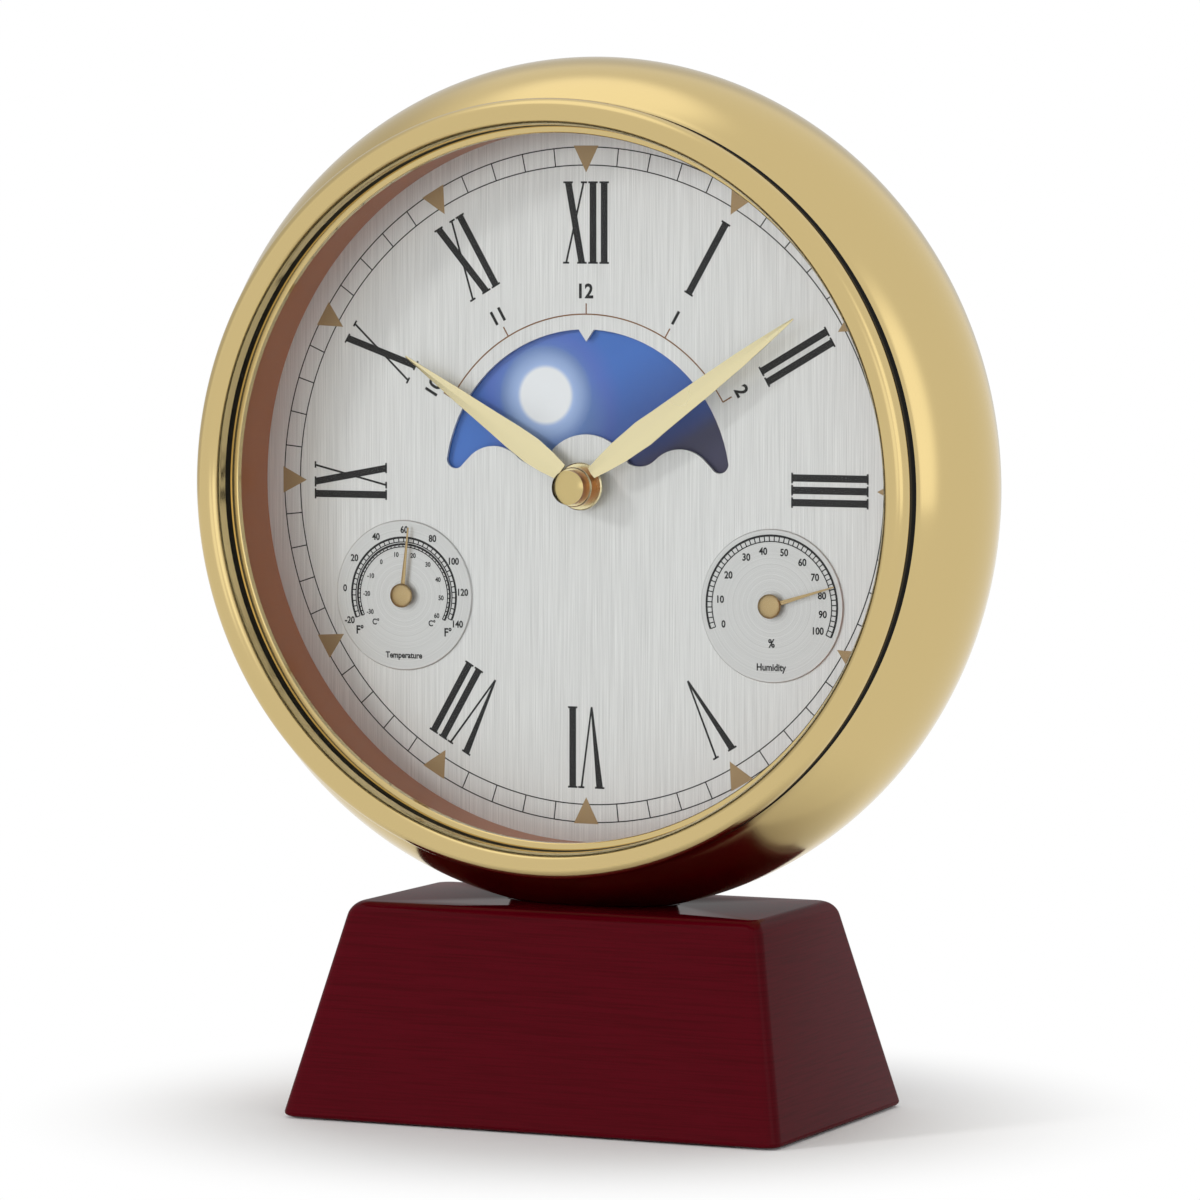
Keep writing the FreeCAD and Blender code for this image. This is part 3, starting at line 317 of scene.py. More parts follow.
@dataclass(frozen=True)
class PrintedSky:
    """Printed day and night sky of the 24-hour disc."""

    name: str = "printed_sky"
    roughness: float = 0.4
    edge: float = 40.0  # radius that the colours are counted to
    sun_angle: float = -27.7  # the moon is opposite
    sun_ring: float = 22.5  # distance of the sun from the middle
    night_edge: float = -14.0  # distance toward the sun below which there are stars
    star_scale: float = 230.0  # cells to a metre, one star in each
    star_size: float = 0.07  # as a share of its cell

    SKY = (
        (-14.0, (0.036, 0.032, 0.062)), (-2.0, (0.045, 0.045, 0.10)), (7.0, (0.045, 0.10, 0.34)),
        (20.0, (0.055, 0.155, 0.50)))
    HALO = (
        (5.95, (0.80, 0.82, 0.86)), (6.85, (0.36, 0.48, 0.76)), (11.45, (0.10, 0.18, 0.42)),
        (26.0, (0.0, 0.0, 0.0)))
    MOON = ((6.15, (0.72, 0.70, 0.60)), (6.75, (0.10, 0.10, 0.16)), (16.0, (0.0, 0.0, 0.0)))

    def material(self) -> bpy.types.Material:
        """Return the material, which reads the disc's own object coordinates.

        Returns:
            The material with its node tree.
        """
        material, net, shader = new_material(self.name)
        angle = math.radians(self.sun_angle)
        right, up = math.sin(angle), math.cos(angle)
        shift = net.vector("SUBTRACT", net.place(), (0.0, 0.0, AXIS_Z * MM))
        sunward = net.vector("DOT_PRODUCT", shift, (right / MM, 0.0, up / MM))
        color = self._band(net, sunward, -self.edge, self.SKY)
        for side, stops in ((self.sun_ring, self.HALO), (-self.sun_ring, self.MOON)):
            length = net.distance((side * right, side * up), 1.0 / MM)
            color = self._lighter(net, color, self._band(net, length, 0.0, stops))
        cells = net.add("ShaderNodeTexVoronoi", {"Vector": net.place(), "Scale": self.star_scale})
        dots = net.math("LESS_THAN", cells, self.star_size)
        stars = net.math("MULTIPLY", dots, net.math("LESS_THAN", sunward, self.night_edge))
        net.feed(shader, {"Base Color": self._lighter(net, color, stars), "Roughness": self.roughness})
        return material

    def _band(self, net: Net, value: Socket, low: float, stops: Stops) -> Socket:
        """Return the colour of a distance between the least one and the disc's edge."""
        share = net.add("ShaderNodeMapRange", {"Value": value, "From Min": low, "From Max": self.edge})
        return net.ramp(share, [((at - low) / (self.edge - low), color) for at, color in stops])

    @staticmethod
    def _lighter(net: Net, first: Socket, second: Socket) -> Socket:
        """Return the lighter of two colours."""
        colors = {"Factor": 1.0, 6: first, 7: second}
        return net.add("ShaderNodeMix", colors, 2, data_type="RGBA", blend_type="LIGHTEN")


AnyFinish = Union[Finish, ClearGlass, PrintedSky]

GOLD = Finish("gold_polished", (0.60, 0.465, 0.215), 1.0, 0.15, Grain.WEAR)
GOLD_HAND = Finish("gold_hand", (0.82, 0.72, 0.45), 1.0, 0.26, Grain.WEAR)
GOLD_PIN = Finish("gold_satin", (0.52, 0.385, 0.205), 1.0, 0.42, Grain.WEAR)
# Dark amber gold that paints a reflection of brown surroundings on the hour tube and the cap's side.
GOLD_PAINTED_REFLECTION = Finish("gold_amber_painted_reflection", (0.34, 0.115, 0.010), 1.0, 0.28)
STEEL = Finish("steel_plated", (0.56, 0.56, 0.55), 1.0, 0.3, Grain.WEAR)
SILVER = Finish("dial_silver", (0.85, 0.85, 0.85), 0.5, 0.42, Grain.UPRIGHT_BRUSH, (0.54, 0.54, 0.54))
LACQUER = Finish(
    "red_lacquered_wood", (0.082, 0.0008, 0.0050), 0.0, 0.25, Grain.WOOD, (0.062, 0.0004, 0.0030),
    coat=0.30, coat_ior=1.27, specular=0.0)
FELT = Finish("felt_dark", (0.02, 0.02, 0.02), 0.0, 0.95, Grain.FELT, (0.01, 0.01, 0.01))
WALL = Finish("wall_brown", (0.40, 0.145, 0.065), 0.0, 0.35, specular=0.15)
# Near-black finish of the rings in the bezel's creases: painted shade, not a part of the clock.
BLACK_PAINTED_SHADE = Finish("black_painted_shade", (0.003, 0.003, 0.003), 0.0, 0.6, specular=0.1)
INK = Finish("ink_black", (0.006, 0.006, 0.007), 0.0, 0.55)
TAN = Finish("ink_tan", (0.36, 0.25, 0.13), 0.4, 0.4)
BROWN = Finish("ink_brown", (0.19, 0.085, 0.03), 0.0, 0.5)
COVER = Finish("cover_black", (0.02, 0.02, 0.02), 0.0, 0.5, Grain.WEAR)
PLASTIC = Finish("plastic_black", (0.03, 0.03, 0.032), 0.0, 0.38, Grain.WEAR)
NYLON = Finish("plastic_white", (0.72, 0.72, 0.68), 0.0, 0.4)
CELL = Finish("cell_sleeve", (0.05, 0.05, 0.055), 0.2, 0.3, Grain.WEAR)
COPPER = Finish("wire_copper", (0.55, 0.2, 0.07), 0.9, 0.35)
BOARD = Finish("board_green", (0.03, 0.16, 0.05), 0.0, 0.35)


@dataclass(frozen=True)
class Seat:
    """Where a piece belongs."""

    body: str  # CAD body that it rides on
    slot: str  # material slot of the record, named after a CAD node; here only used to hide that node when a piece stands in for it
    finish: AnyFinish




def turned(across: float, out: float, angle: float, center: Point2 = (0.0, 0.0)) -> Point2:
    """Place of a point drawn at 12 o'clock after a clockwise turn.

    Args:
        across: Distance to the right of the radius.
        out: Distance from the centre.
        angle: Clockwise turn.
        center: Centre of the turn.

    Returns:
        The point on the dial.
    """
    a = math.radians(angle)
    x = across * math.cos(a) + out * math.sin(a)
    z = out * math.cos(a) - across * math.sin(a)
    return center[0] + x, center[1] + z


def section(corners: Iterable[Point3], angle: float, center: Point2) -> list[Point3]:
    """Return corners (across, out, depth) after a clockwise turn, as points (x, depth, z)."""
    places = [(turned(across, out, angle, center), depth) for across, out, depth in corners]
    return [(x, depth, z) for (x, z), depth in places]


def arc_points(center: Point2, radius: float, start: float, end: float, count: int) -> list[Point2]:
    """Return the points of an arc, its angles from the first axis toward the second, in count steps."""
    angles = [math.radians(start + (end - start) * step / count) for step in range(count + 1)]
    return [(center[0] + radius * math.cos(a), center[1] + radius * math.sin(a)) for a in angles]


def bar(half: float, inner: float, outer: float, center: Point2 = (0.0, 0.0)) -> list[Point2]:
    """Return the outline of a radial bar at 12 o'clock."""
    x, z = center
    return [(x - half, z + inner), (x + half, z + inner), (x + half, z + outer), (x - half, z + outer)]


def linked(name: str, data: bpy.types.ID) -> Object:
    """Make an object of its data and link it to the scene.

    Args:
        name: Name of the object.
        data: Mesh, curve, light or camera.

    Returns:
        The new object.
    """
    thing = bpy.data.objects.new(name, data)
    bpy.context.scene.collection.objects.link(thing)
    return thing


def baked(source: Object) -> bpy.types.Mesh:
    """Make a plain mesh of a curve or of an object with modifiers.

    Args:
        source: The object.

    Returns:
        The new mesh.
    """
    bpy.context.view_layer.update()
    graph = bpy.context.evaluated_depsgraph_get()
    return bpy.data.meshes.new_from_object(source.evaluated_get(graph))


def closed(name: str, parts: Iterable[bpy.types.Mesh]) -> bpy.types.Mesh:
    """Join meshes into one without doubles, its faces outwards.

    Args:
        name: Name of the mesh.
        parts: Meshes, which are used up.

    Returns:
        The new mesh.
    """
    work = bmesh.new()
    for part in parts:
        work.from_mesh(part)
        bpy.data.meshes.remove(part)
    bmesh.ops.remove_doubles(work, verts=work.verts, dist=MERGE_DISTANCE)
    bmesh.ops.recalc_face_normals(work, faces=work.faces)
    mesh = bpy.data.meshes.new(name)
    work.to_mesh(mesh)
    work.free()
    return mesh


def place_mesh(name: str, mesh: bpy.types.Mesh, seat: Seat, smooth_angle: float = SMOOTH) -> Object:
    """Make an object of a mesh, give it its finish and let it ride on its body.

    Args:
        name: Name of the piece.
        mesh: Its mesh, in place in the row frame.
        seat: Body, slot and finish.
        smooth_angle: Edges sharper than this stay sharp; 0 keeps all flat.

    Returns:
        The new object.
    """
    mesh.materials.clear()
    mesh.materials.append(seat.finish.material())
    if smooth_angle:
        for polygon in mesh.polygons:
            polygon.use_smooth = True
        mesh.set_sharp_from_angle(angle=math.radians(smooth_angle))
    piece = linked(name, mesh)
    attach(piece, seat.body)
    LOG.info("piece %s rides on %s", name, seat.body)
    return piece


def paint(node: Object, finish: AnyFinish) -> None:
    """Give a CAD node a finish.

    Args:
        node: Object of the CAD node.
        finish: The finish.
    """
    node.data.materials.clear()
    node.data.materials.append(finish.material())
    LOG.info("node %s has %s", node.name, finish.name)


@dataclass
class MeshBuilder:
    """Collects closed solids in mm about the hand axis and makes one mesh of them."""

    verts: list[Point3] = field(default_factory=list)
    faces: list[tuple[int, ...]] = field(default_factory=list)

    def prism(self, outline: Outline, front: float, back: float) -> "MeshBuilder":
        """Add a flat outline between two depths."""
        return self.loft([[(x, depth, z) for x, z in outline] for depth in (front, back)])

    def band(self, inner: float, outer: float, start: float, end: float, front: float, back: float,
             center: Point2 = (0.0, 0.0), steps: int = 96) -> "MeshBuilder":
        """Add a flat arc or a whole ring.

        Args:
            inner: Inner radius.
            outer: Outer radius.
            start: First angle.
            end: Last angle; a full turn later makes a ring.
            front: Depth of the front face.
            back: Depth of the rear face.
            center: Centre of the arc.
            steps: Number of steps.

        Returns:
            This builder.
        """
        corners = ((inner, front), (outer, front), (outer, back), (inner, back))
        if math.isclose(end - start, 360.0):
            return self.lathe(corners, center, steps)
        angles = [start + (end - start) * step / steps for step in range(steps + 1)]
        upright = [(0.0, radius, depth) for radius, depth in corners]
        return self.loft([section(upright, angle, center) for angle in angles])

    def lathe(self, profile: Outline, center: Point2 = (0.0, 0.0), steps: int = 256) -> "MeshBuilder":
        """Add a solid of revolution about an axis along the depth.

        Args:
            profile: Closed profile; points at radius 0 become poles.
            center: Place of the axis.
            steps: Number of steps round the axis.

        Returns:
            This builder.
        """
        rings: list[list[int]] = []
        for radius, depth in profile:
            first = len(self.verts)
            if radius < POLE_RADIUS:
                self.verts.append((center[0], depth, center[1]))
                rings.append([first] * steps)
                continue
            for step in range(steps):
                self.verts += section(((0.0, radius, depth),), 360.0 * step / steps, center)
            rings.append([first + step for step in range(steps)])
        for a, b in zip(rings, rings[1:] + rings[:1]):
            if a[0] == a[1] and b[0] == b[1]:
                continue
            for step in range(steps):
                after = (step + 1) % steps
                self.faces.append(tuple(dict.fromkeys((a[step], a[after], b[after], b[step]))))
        return self

    def loft(self, sections: Sequence[Sequence[Point3]]) -> "MeshBuilder":
        """Add a solid through closed sections with the same number of corners.

        Args:
            sections: Each a list of points (x, depth, z).

        Returns:
            This builder.
        """
        first = len(self.verts)
        count = len(sections[0])
        for corners in sections:
            self.verts += list(corners)
        for row in range(len(sections) - 1):
            a = first + row * count
            for i in range(count):
                j = (i + 1) % count
                self.faces.append((a + i, a + j, a + count + j, a + count + i))
        last = first + (len(sections) - 1) * count
        self.faces.append(tuple(first + i for i in reversed(range(count))))
        self.faces.append(tuple(last + i for i in range(count)))
        return self

    def mesh(self, name: str) -> bpy.types.Mesh:
        """Return the mesh in metres with outward normals.

        Args:
            name: Name of the mesh.

        Returns:
            The mesh.
        """
        raw = bpy.data.meshes.new("raw")
        raw.from_pydata([(x * MM, y * MM, (AXIS_Z + z) * MM) for x, y, z in self.verts], [], self.faces)
        return closed(name, [raw])

    def place(self, name: str, seat: Seat, smooth_angle: float = SMOOTH, stands_in: bool = False) -> Object:
        """Make the piece.

        Args:
            name: Name of the piece.
            seat: Body, slot and finish.
            smooth_angle: Edges sharper than this stay sharp; 0 keeps all flat.
            stands_in: Whether it replaces the CAD node that the slot is named after.

        Returns:
            The new object.
        """
        piece = place_mesh(name, self.mesh(name), seat, smooth_angle)
        if stands_in:
            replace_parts(piece, seat.slot)
        return piece


@dataclass
class RadialArray:
    """Geometry Nodes array that repeats one solid round a centre."""

    count: int
    step: float  # angle between copies
    start: float = 0.0
    center: Point2 = (0.0, 0.0)

    NAME = "radial_array"
    INPUTS = {
        "Geometry": "Geometry", "Count": "Int", "Step": "Float", "Start": "Float", "Center": "Vector",
        "Material": "Material",
    }

    @classmethod
    def tree(cls) -> bpy.types.NodeTree:
        """Return the shared node tree, made on first use.

        Returns:
            The tree, which ends in real, painted geometry.
        """
        known = bpy.data.node_groups.get(cls.NAME)
        if known:
            return known
        tree = bpy.data.node_groups.new(cls.NAME, "GeometryNodeTree")
        for name, kind in cls.INPUTS.items():
            tree.interface.new_socket(name, in_out="INPUT", socket_type="NodeSocket" + kind)
        tree.interface.new_socket("Geometry", in_out="OUTPUT", socket_type="NodeSocketGeometry")
        net = Net(tree)
        given = tree.nodes.new("NodeGroupInput").outputs
        back = net.add("ShaderNodeVectorMath", {0: given["Center"], "Scale": -1.0}, operation="SCALE")
        local = net.add("GeometryNodeTransform", {"Geometry": given["Geometry"], "Translation": back})
        points = net.add("GeometryNodePoints", {"Count": given["Count"], "Position": given["Center"]})
        angle = net.math("MULTIPLY_ADD", net.add("GeometryNodeInputIndex"), given["Step"], given["Start"])
        turn = net.add("ShaderNodeCombineXYZ", {"Y": angle})
        inputs = {"Points": points, "Instance": local, "Rotation": turn}
        real = net.add("GeometryNodeRealizeInstances", {0: net.add("GeometryNodeInstanceOnPoints", inputs)})
        painted = net.add("GeometryNodeSetMaterial", {"Geometry": real, "Material": given["Material"]})
        net.feed(tree.nodes.new("NodeGroupOutput"), {0: painted})
        return tree

    def build(self, name: str, builder: MeshBuilder, seat: Seat, smooth_angle: float = SMOOTH) -> Object:
        """Repeat a solid drawn at 12 o'clock of the centre and bake the result.

        Args:
            name: Name of the piece.
            builder: Solid to repeat.
            seat: Body, slot and finish.
            smooth_angle: Edges sharper than this stay sharp; 0 keeps all flat.

        Returns:
            The baked piece.
        """
        source = linked(name + "_source", builder.mesh(name + "_source"))
        modifier = source.modifiers.new("array", "NODES")
        modifier.node_group = self.tree()
        values = {
            "Count": self.count,
            "Step": math.radians(self.step),
            "Start": math.radians(self.start),
            "Center": (self.center[0] * MM, 0.0, (AXIS_Z + self.center[1]) * MM),
            "Material": seat.finish.material(),
        }
        for item in modifier.node_group.interface.items_tree:
            if item.in_out == "INPUT" and item.name in values:
                modifier[item.identifier] = values[item.name]
        mesh = baked(source)
        source.modifiers.remove(modifier)
        bpy.data.objects.remove(source, do_unlink=True)
        mesh.name = name
        return place_mesh(name, mesh, seat, smooth_angle)


@dataclass
class Lettering:
    """Short words and numbers as thin solids, joined into one piece."""

    front: float  # depth of the face that is printed
    weight: float = 0.03  # extra thickness of the strokes, as a share of the font size
    figure: float = 0.7  # height of a figure, as a share of the font size
    thickness: float = 0.02  # half thickness of the font's solids before they are flattened
    curve_steps: int = 3
    meshes: list[bpy.types.Mesh] = field(default_factory=list)

    def add(self, body: str, place: Point2, size: float, turn: float = 0.0, width: float = 1.0) -> None:
        """Add one word, its middle at a place.

        Args:
            body: Text.
            place: Middle of the text on the dial.
            size: Height of a figure.
            turn: Clockwise turn.
            width: Horizontal stretch.
        """
        curve = bpy.data.curves.new("word", "FONT")
        curve.body = body
        curve.size = 1.0
        curve.resolution_u = self.curve_steps
        curve.offset = self.weight
        curve.extrude = self.thickness
        word = linked("word", curve)
        mesh = baked(word)
        bpy.data.objects.remove(word, do_unlink=True)
        xs = [vertex.co.x for vertex in mesh.vertices]
        ys = [vertex.co.y for vertex in mesh.vertices]
        middle = ((min(xs) + max(xs)) / 2, (min(ys) + max(ys)) / 2)
        scale = size / self.figure
        for vertex in mesh.vertices:
            across = (vertex.co.x - middle[0]) * scale * width
            up = (vertex.co.y - middle[1]) * scale
            x, z = turned(across, up, turn, place)
            depth = self.front - PRINT if vertex.co.z > 0 else self.front + PRINT
            vertex.co = Vector((x, depth, AXIS_Z + z)) * MM
        self.meshes.append(mesh)

    def build(self, name: str, seat: Seat) -> Object:
        """Join the words into one piece."""
        return place_mesh(name, closed(name, self.meshes), seat, 0.0)


@dataclass(frozen=True)
class Barrel:
    """Outline of the drum, which its seat in the base repeats."""

    crest: float = 95.0  # radius in the middle
    edge: float = 85.6  # radius at the front and the rear
    half: float = 19.8

    def arc(self, crest: float, wall: float, half: float, count: int) -> list[Point2]:
        """Profile of the barrel or of its hollow, from front to rear.

        Args:
            crest: Radius of the outside in the middle.
            wall: How far the arc lies inside of it.
            half: Half the depth that it spans.
            count: Number of steps.

        Returns:
            The points.
        """
        rise = self.crest - self.edge
        bend = (self.half ** 2 + rise ** 2) / (2 * rise)
        sweep = math.degrees(math.asin(half / (bend - wall)))
        return arc_points((crest - bend, 0.0), bend - wall, -sweep, sweep, count)


@dataclass
class Case:
    """Gold drum, bezel, glass, brown inner wall and near-black rings that paint the shade in the bezel's
    creases.
    """

    root: str
    barrel: Barrel = Barrel()
    crest: float = 94.965  # radius of the visible drum, a hair inside the CAD one
    wall: float = 1.5
    # Profile of the neck's front edge, from its bore outwards
    neck: Outline = ((83.05, -22.6), (84.5, -22.6))
    neck_rear: float = -18.3  # rear end of the neck's bore
    rear_bore: float = 76.0  # radius of the drum's rear opening
    # Centre and radius of the round front edge of the bezel
    bead: tuple[Point2, float] = ((82.65, -25.9), 2.9)
    # Profile of the bezel inside the neck and up to the bead
    skirt: Outline = ((82.95, 1.8), (82.95, -23.1), (84.6, -23.1), (85.2, -23.7))
    lip: Outline = (  # profile of the bezel from the bead to the glass and back into the neck
        (79.5, -22.0), (79.3, -21.5), (78.2, -21.4), (78.0, -21.2), (78.0, -19.6), (81.0, -19.6), (81.0, 1.8))
    # Profile of the near-black ring of painted shade in the crease beside the lip
    inner_shade_profile: Outline = ((79.61, -24.2), (79.47, -22.0), (79.9, -22.0), (79.9, -24.2))
    outer_shade_profile: Outline = (  # profile of the near-black ring of painted shade in the crease between bezel and drum
        (85.56, -25.5), (85.26, -23.66), (84.68, -23.04), (84.62, -22.3), (84.78, -21.3), (85.05, -20.7),
        (84.3, -20.7), (84.0, -23.3), (84.8, -25.3))
    pane: Outline = ((0.0, -19.6), (80.7, -19.6), (80.9, -19.4), (80.9, -17.8), (80.7, -17.6), (0.0, -17.6))
    lining: Outline = ((79.4, -17.6), (80.9, -17.6), (80.9, -4.0), (79.4, -4.0))
    cove_steps: int = 10
    arc_steps: tuple[int, int, int] = (64, 24, 48)  # of the outside, the hollow and the bead

    def build(self) -> None:
        """Build the turned pieces."""
        barrel, half = self.barrel, self.barrel.half
        hollow = half - self.wall
        outer, inner, round_edge = self.arc_steps
        outside = barrel.arc(self.crest, 0.0, half, outer)
        inside = barrel.arc(barrel.crest, self.wall, hollow, inner)[::-1]
        (bore, front), (rim, _) = self.neck
        shares = [step / self.cove_steps for step in range(1, self.cove_steps)]
        cove = [(rim + (barrel.edge - rim) * t ** 2, front - (half + front) * t) for t in shares]
        drum = [*self.neck, *cove, (barrel.edge, -half), *outside[1:]]
        drum += [(self.rear_bore, half), (self.rear_bore, hollow), *inside, (bore, self.neck_rear)]
        bezel = [*self.skirt, *arc_points(*self.bead, 0.0, -180.0, round_edge), *self.lip]
        self._turn("drum_shell", drum, "case_shell", GOLD)
        self._turn("bezel", bezel, "bezel_ring", GOLD)
        # Two near-black rings in the creases beside the bead paint the shade there.
        self._turn("bezel_painted_shade_inner", self.inner_shade_profile, "bezel_ring", BLACK_PAINTED_SHADE, stands_in=False)
        self._turn("bezel_painted_shade_outer", self.outer_shade_profile, "bezel_ring", BLACK_PAINTED_SHADE, stands_in=False)
        self._turn("glass", self.pane, "lens_glass", ClearGlass(), steps=256)
        self._turn("inner_wall", self.lining, "spacer_ring", WALL, steps=256)

    def _turn(self, name: str, profile: Outline, slot: str, finish: AnyFinish, steps: int = 360,
              stands_in: bool = True) -> None:
        """Make one turned piece, which may replace the CAD node that its slot is named after."""
        seat = Seat(self.root, slot, finish)
        MeshBuilder().lathe(profile, steps=steps).place(name, seat, stands_in=stands_in)


@dataclass
class Numerals:
    """Condensed Roman numerals built from thick and thin strokes."""

    builder: MeshBuilder = field(default_factory=MeshBuilder)
    inner: float = 49.2  # radius of the numerals' feet
    height: float = 18.2
    thick: float = 1.6  # width of a thick stroke
    thin: float = 0.46  # width of a thin stroke
    serif: float = 0.42
    wide: float = 2.3  # width of a thick stroke's serif
    narrow: float = 1.5  # width of a thin stroke's serif
    gap: float = 1.1
    lift_step: float = 0.0023  # how much higher each stroke is than the one before
    lift_most: float = 0.02  # lift at which it starts again
    lift: float = 0.0

    WIDTHS = {"I": 1.6, "V": 5.5, "X": 4.95}

    def add(self, text: str, angle: float) -> None:
        """Add one numeral with its top outwards.

        Args:
            text: Roman numeral.
            angle: Angle of its place.
        """
        left = -(sum(self.WIDTHS[letter] for letter in text) + self.gap * (len(text) - 1)) / 2
        for letter in text:
            width = self.WIDTHS[letter]
            for quad in self._strokes(letter, width):
                self.lift = (self.lift + self.lift_step) % self.lift_most
                points = [turned(left + across, self.inner + up, angle) for across, up in quad]
                self.builder.prism(points, DIAL_Y - PRINT - self.lift, DIAL_Y + PRINT)
            left += width + self.gap

    def _strokes(self, letter: str, width: float) -> list[list[Point2]]:
        """Draw one letter.

        Args:
            letter: I, V or X.
            width: Its width.

        Returns:
            The corners of its strokes and serifs.
        """
        top, thick, thin, foot = self.height, self.thick, self.thin, self.height - self.serif
        first = thick / 2
        if letter == "I":
            return [
                [(0.0, 0.0), (thick, 0.0), (thick, top), (0.0, top)],
                self._serif(first, self.wide, 0.0), self._serif(first, self.wide, foot)]
        if letter == "X":
            return [
                [(width - thick, 0.0), (width, 0.0), (thick, top), (0.0, top)],
                [(0.05, 0.0), (0.05 + thin, 0.0), (width - 0.1, top), (width - 0.1 - thin, top)],
                self._serif(first, self.wide, foot), self._serif(width - 0.3, self.narrow, foot),
                self._serif(width - first, self.wide, 0.0), self._serif(0.3, self.narrow, 0.0)]
        return [
            [(2.55, 0.0), (3.0, 0.0), (thick, top), (0.0, top)],
            [(2.6, 0.0), (3.0, 0.0), (width, top), (width - thin, top)],
            self._serif(first, self.wide, foot), self._serif(width - 0.2, self.narrow, foot)]

    def _serif(self, middle: float, width: float, up: float) -> list[Point2]:
        """Draw a serif by its middle across the letter, its width and its lower edge."""
        return bar(width / 2, up, up + self.serif, (middle, 0.0))


@dataclass
class Dial:
    """Silver dial with its printing."""

    root: str
    nodes: dict
    ring: Point2 = (71.0, 75.0)  # inner and outer radius of the minute ring
    ring_line: float = 0.13
    mark: Outline = ((-3.0, 75.3), (3.0, 75.3), (0.0, 69.4))
    mark_lift: float = 0.02  # how far the marks stand above the ring's print
    scale: Point2 = (37.9, 38.2)  # inner and outer radius of the disc scale's arc
    stub: Point3 = (0.15, 38.0, 40.45)  # half width, inner and outer radius of a tick of that scale
    figures: Point3 = (43.2, 3.1, 0.95)  # radius, height and stretch of that scale's figures

    NUMERALS = {0: "XII", 1: "I", 2: "II", 3: "III", 5: "V", 6: "VI", 7: "VII", 9: "IX", 10: "X", 11: "XI"}
    SCALE_HOURS = {-60.0: "10", -30.0: "11", 0.0: "12", 30.0: "1", 60.0: "2"}

    def build(self) -> None:
        """Dress the dial plate and print it."""
        paint(self.nodes["dial_plate"], SILVER)
        ink, tan, brown = (Seat(self.root, "dial_plate", finish) for finish in (INK, TAN, BROWN))
        front, back = DIAL_Y - PRINT, DIAL_Y + PRINT

        rings = MeshBuilder()
        for radius in reversed(self.ring):
            rings.band(radius - self.ring_line, radius + self.ring_line, 0.0, 360.0, front, back, steps=240)
        rings.place("minute_rings", ink, 0.0)
        tick = MeshBuilder().prism(bar(self.ring_line, *self.ring), front - TICK_LIFT, back)
        RadialArray(60, 6.0).build("minute_ticks", tick, ink, 0.0)
        mark = MeshBuilder().prism(self.mark, front - self.mark_lift, back)
        RadialArray(12, 30.0).build("hour_marks", mark, tan, 0.0)

        numerals = Numerals()
        for hour, text in self.NUMERALS.items():
            numerals.add(text, 30.0 * hour)
        numerals.builder.place("numerals", ink, 0.0)

        MeshBuilder().band(*self.scale, -60.0, 60.0, front, back).place("disc_scale", brown, 0.0)
        stub = MeshBuilder().prism(bar(*self.stub), front - TICK_LIFT, back)
        RadialArray(5, 30.0, -60.0).build("disc_scale_ticks", stub, brown, 0.0)
        radius, size, width = self.figures
        hours = Lettering(DIAL_Y)
        for angle, text in self.SCALE_HOURS.items():
            hours.add(text, turned(0.0, radius, angle), size, angle, width)
        hours.build("disc_scale_numbers", ink)


def blade(shape: Outline, angle: float, back: float, heights: Point3,
          center: Point2 = (0.0, 0.0)) -> MeshBuilder:
    """Build a leaf with a ridge along its middle.

    Args:
        shape: Distances out with half widths.
        angle: Angle of the leaf.
        back: Depth of its rear face.
        heights: Thickness at the edge and in the middle, and what a wide place adds there.
        center: Centre of the hand.

    Returns:
        The builder with the leaf.
    """
    edge, middle, ridge = heights
    rim = back - edge
    sections = []
    for out, half in shape:
        top = back - middle - ridge * min(1.0, half / RIDGE_WIDTH)
        corners = ((-half, back), (-half, rim), (0.0, top), (half, rim), (half, back))
        sections.append(section([(across, out, depth) for across, depth in corners], angle, center))
    return MeshBuilder().loft(sections)


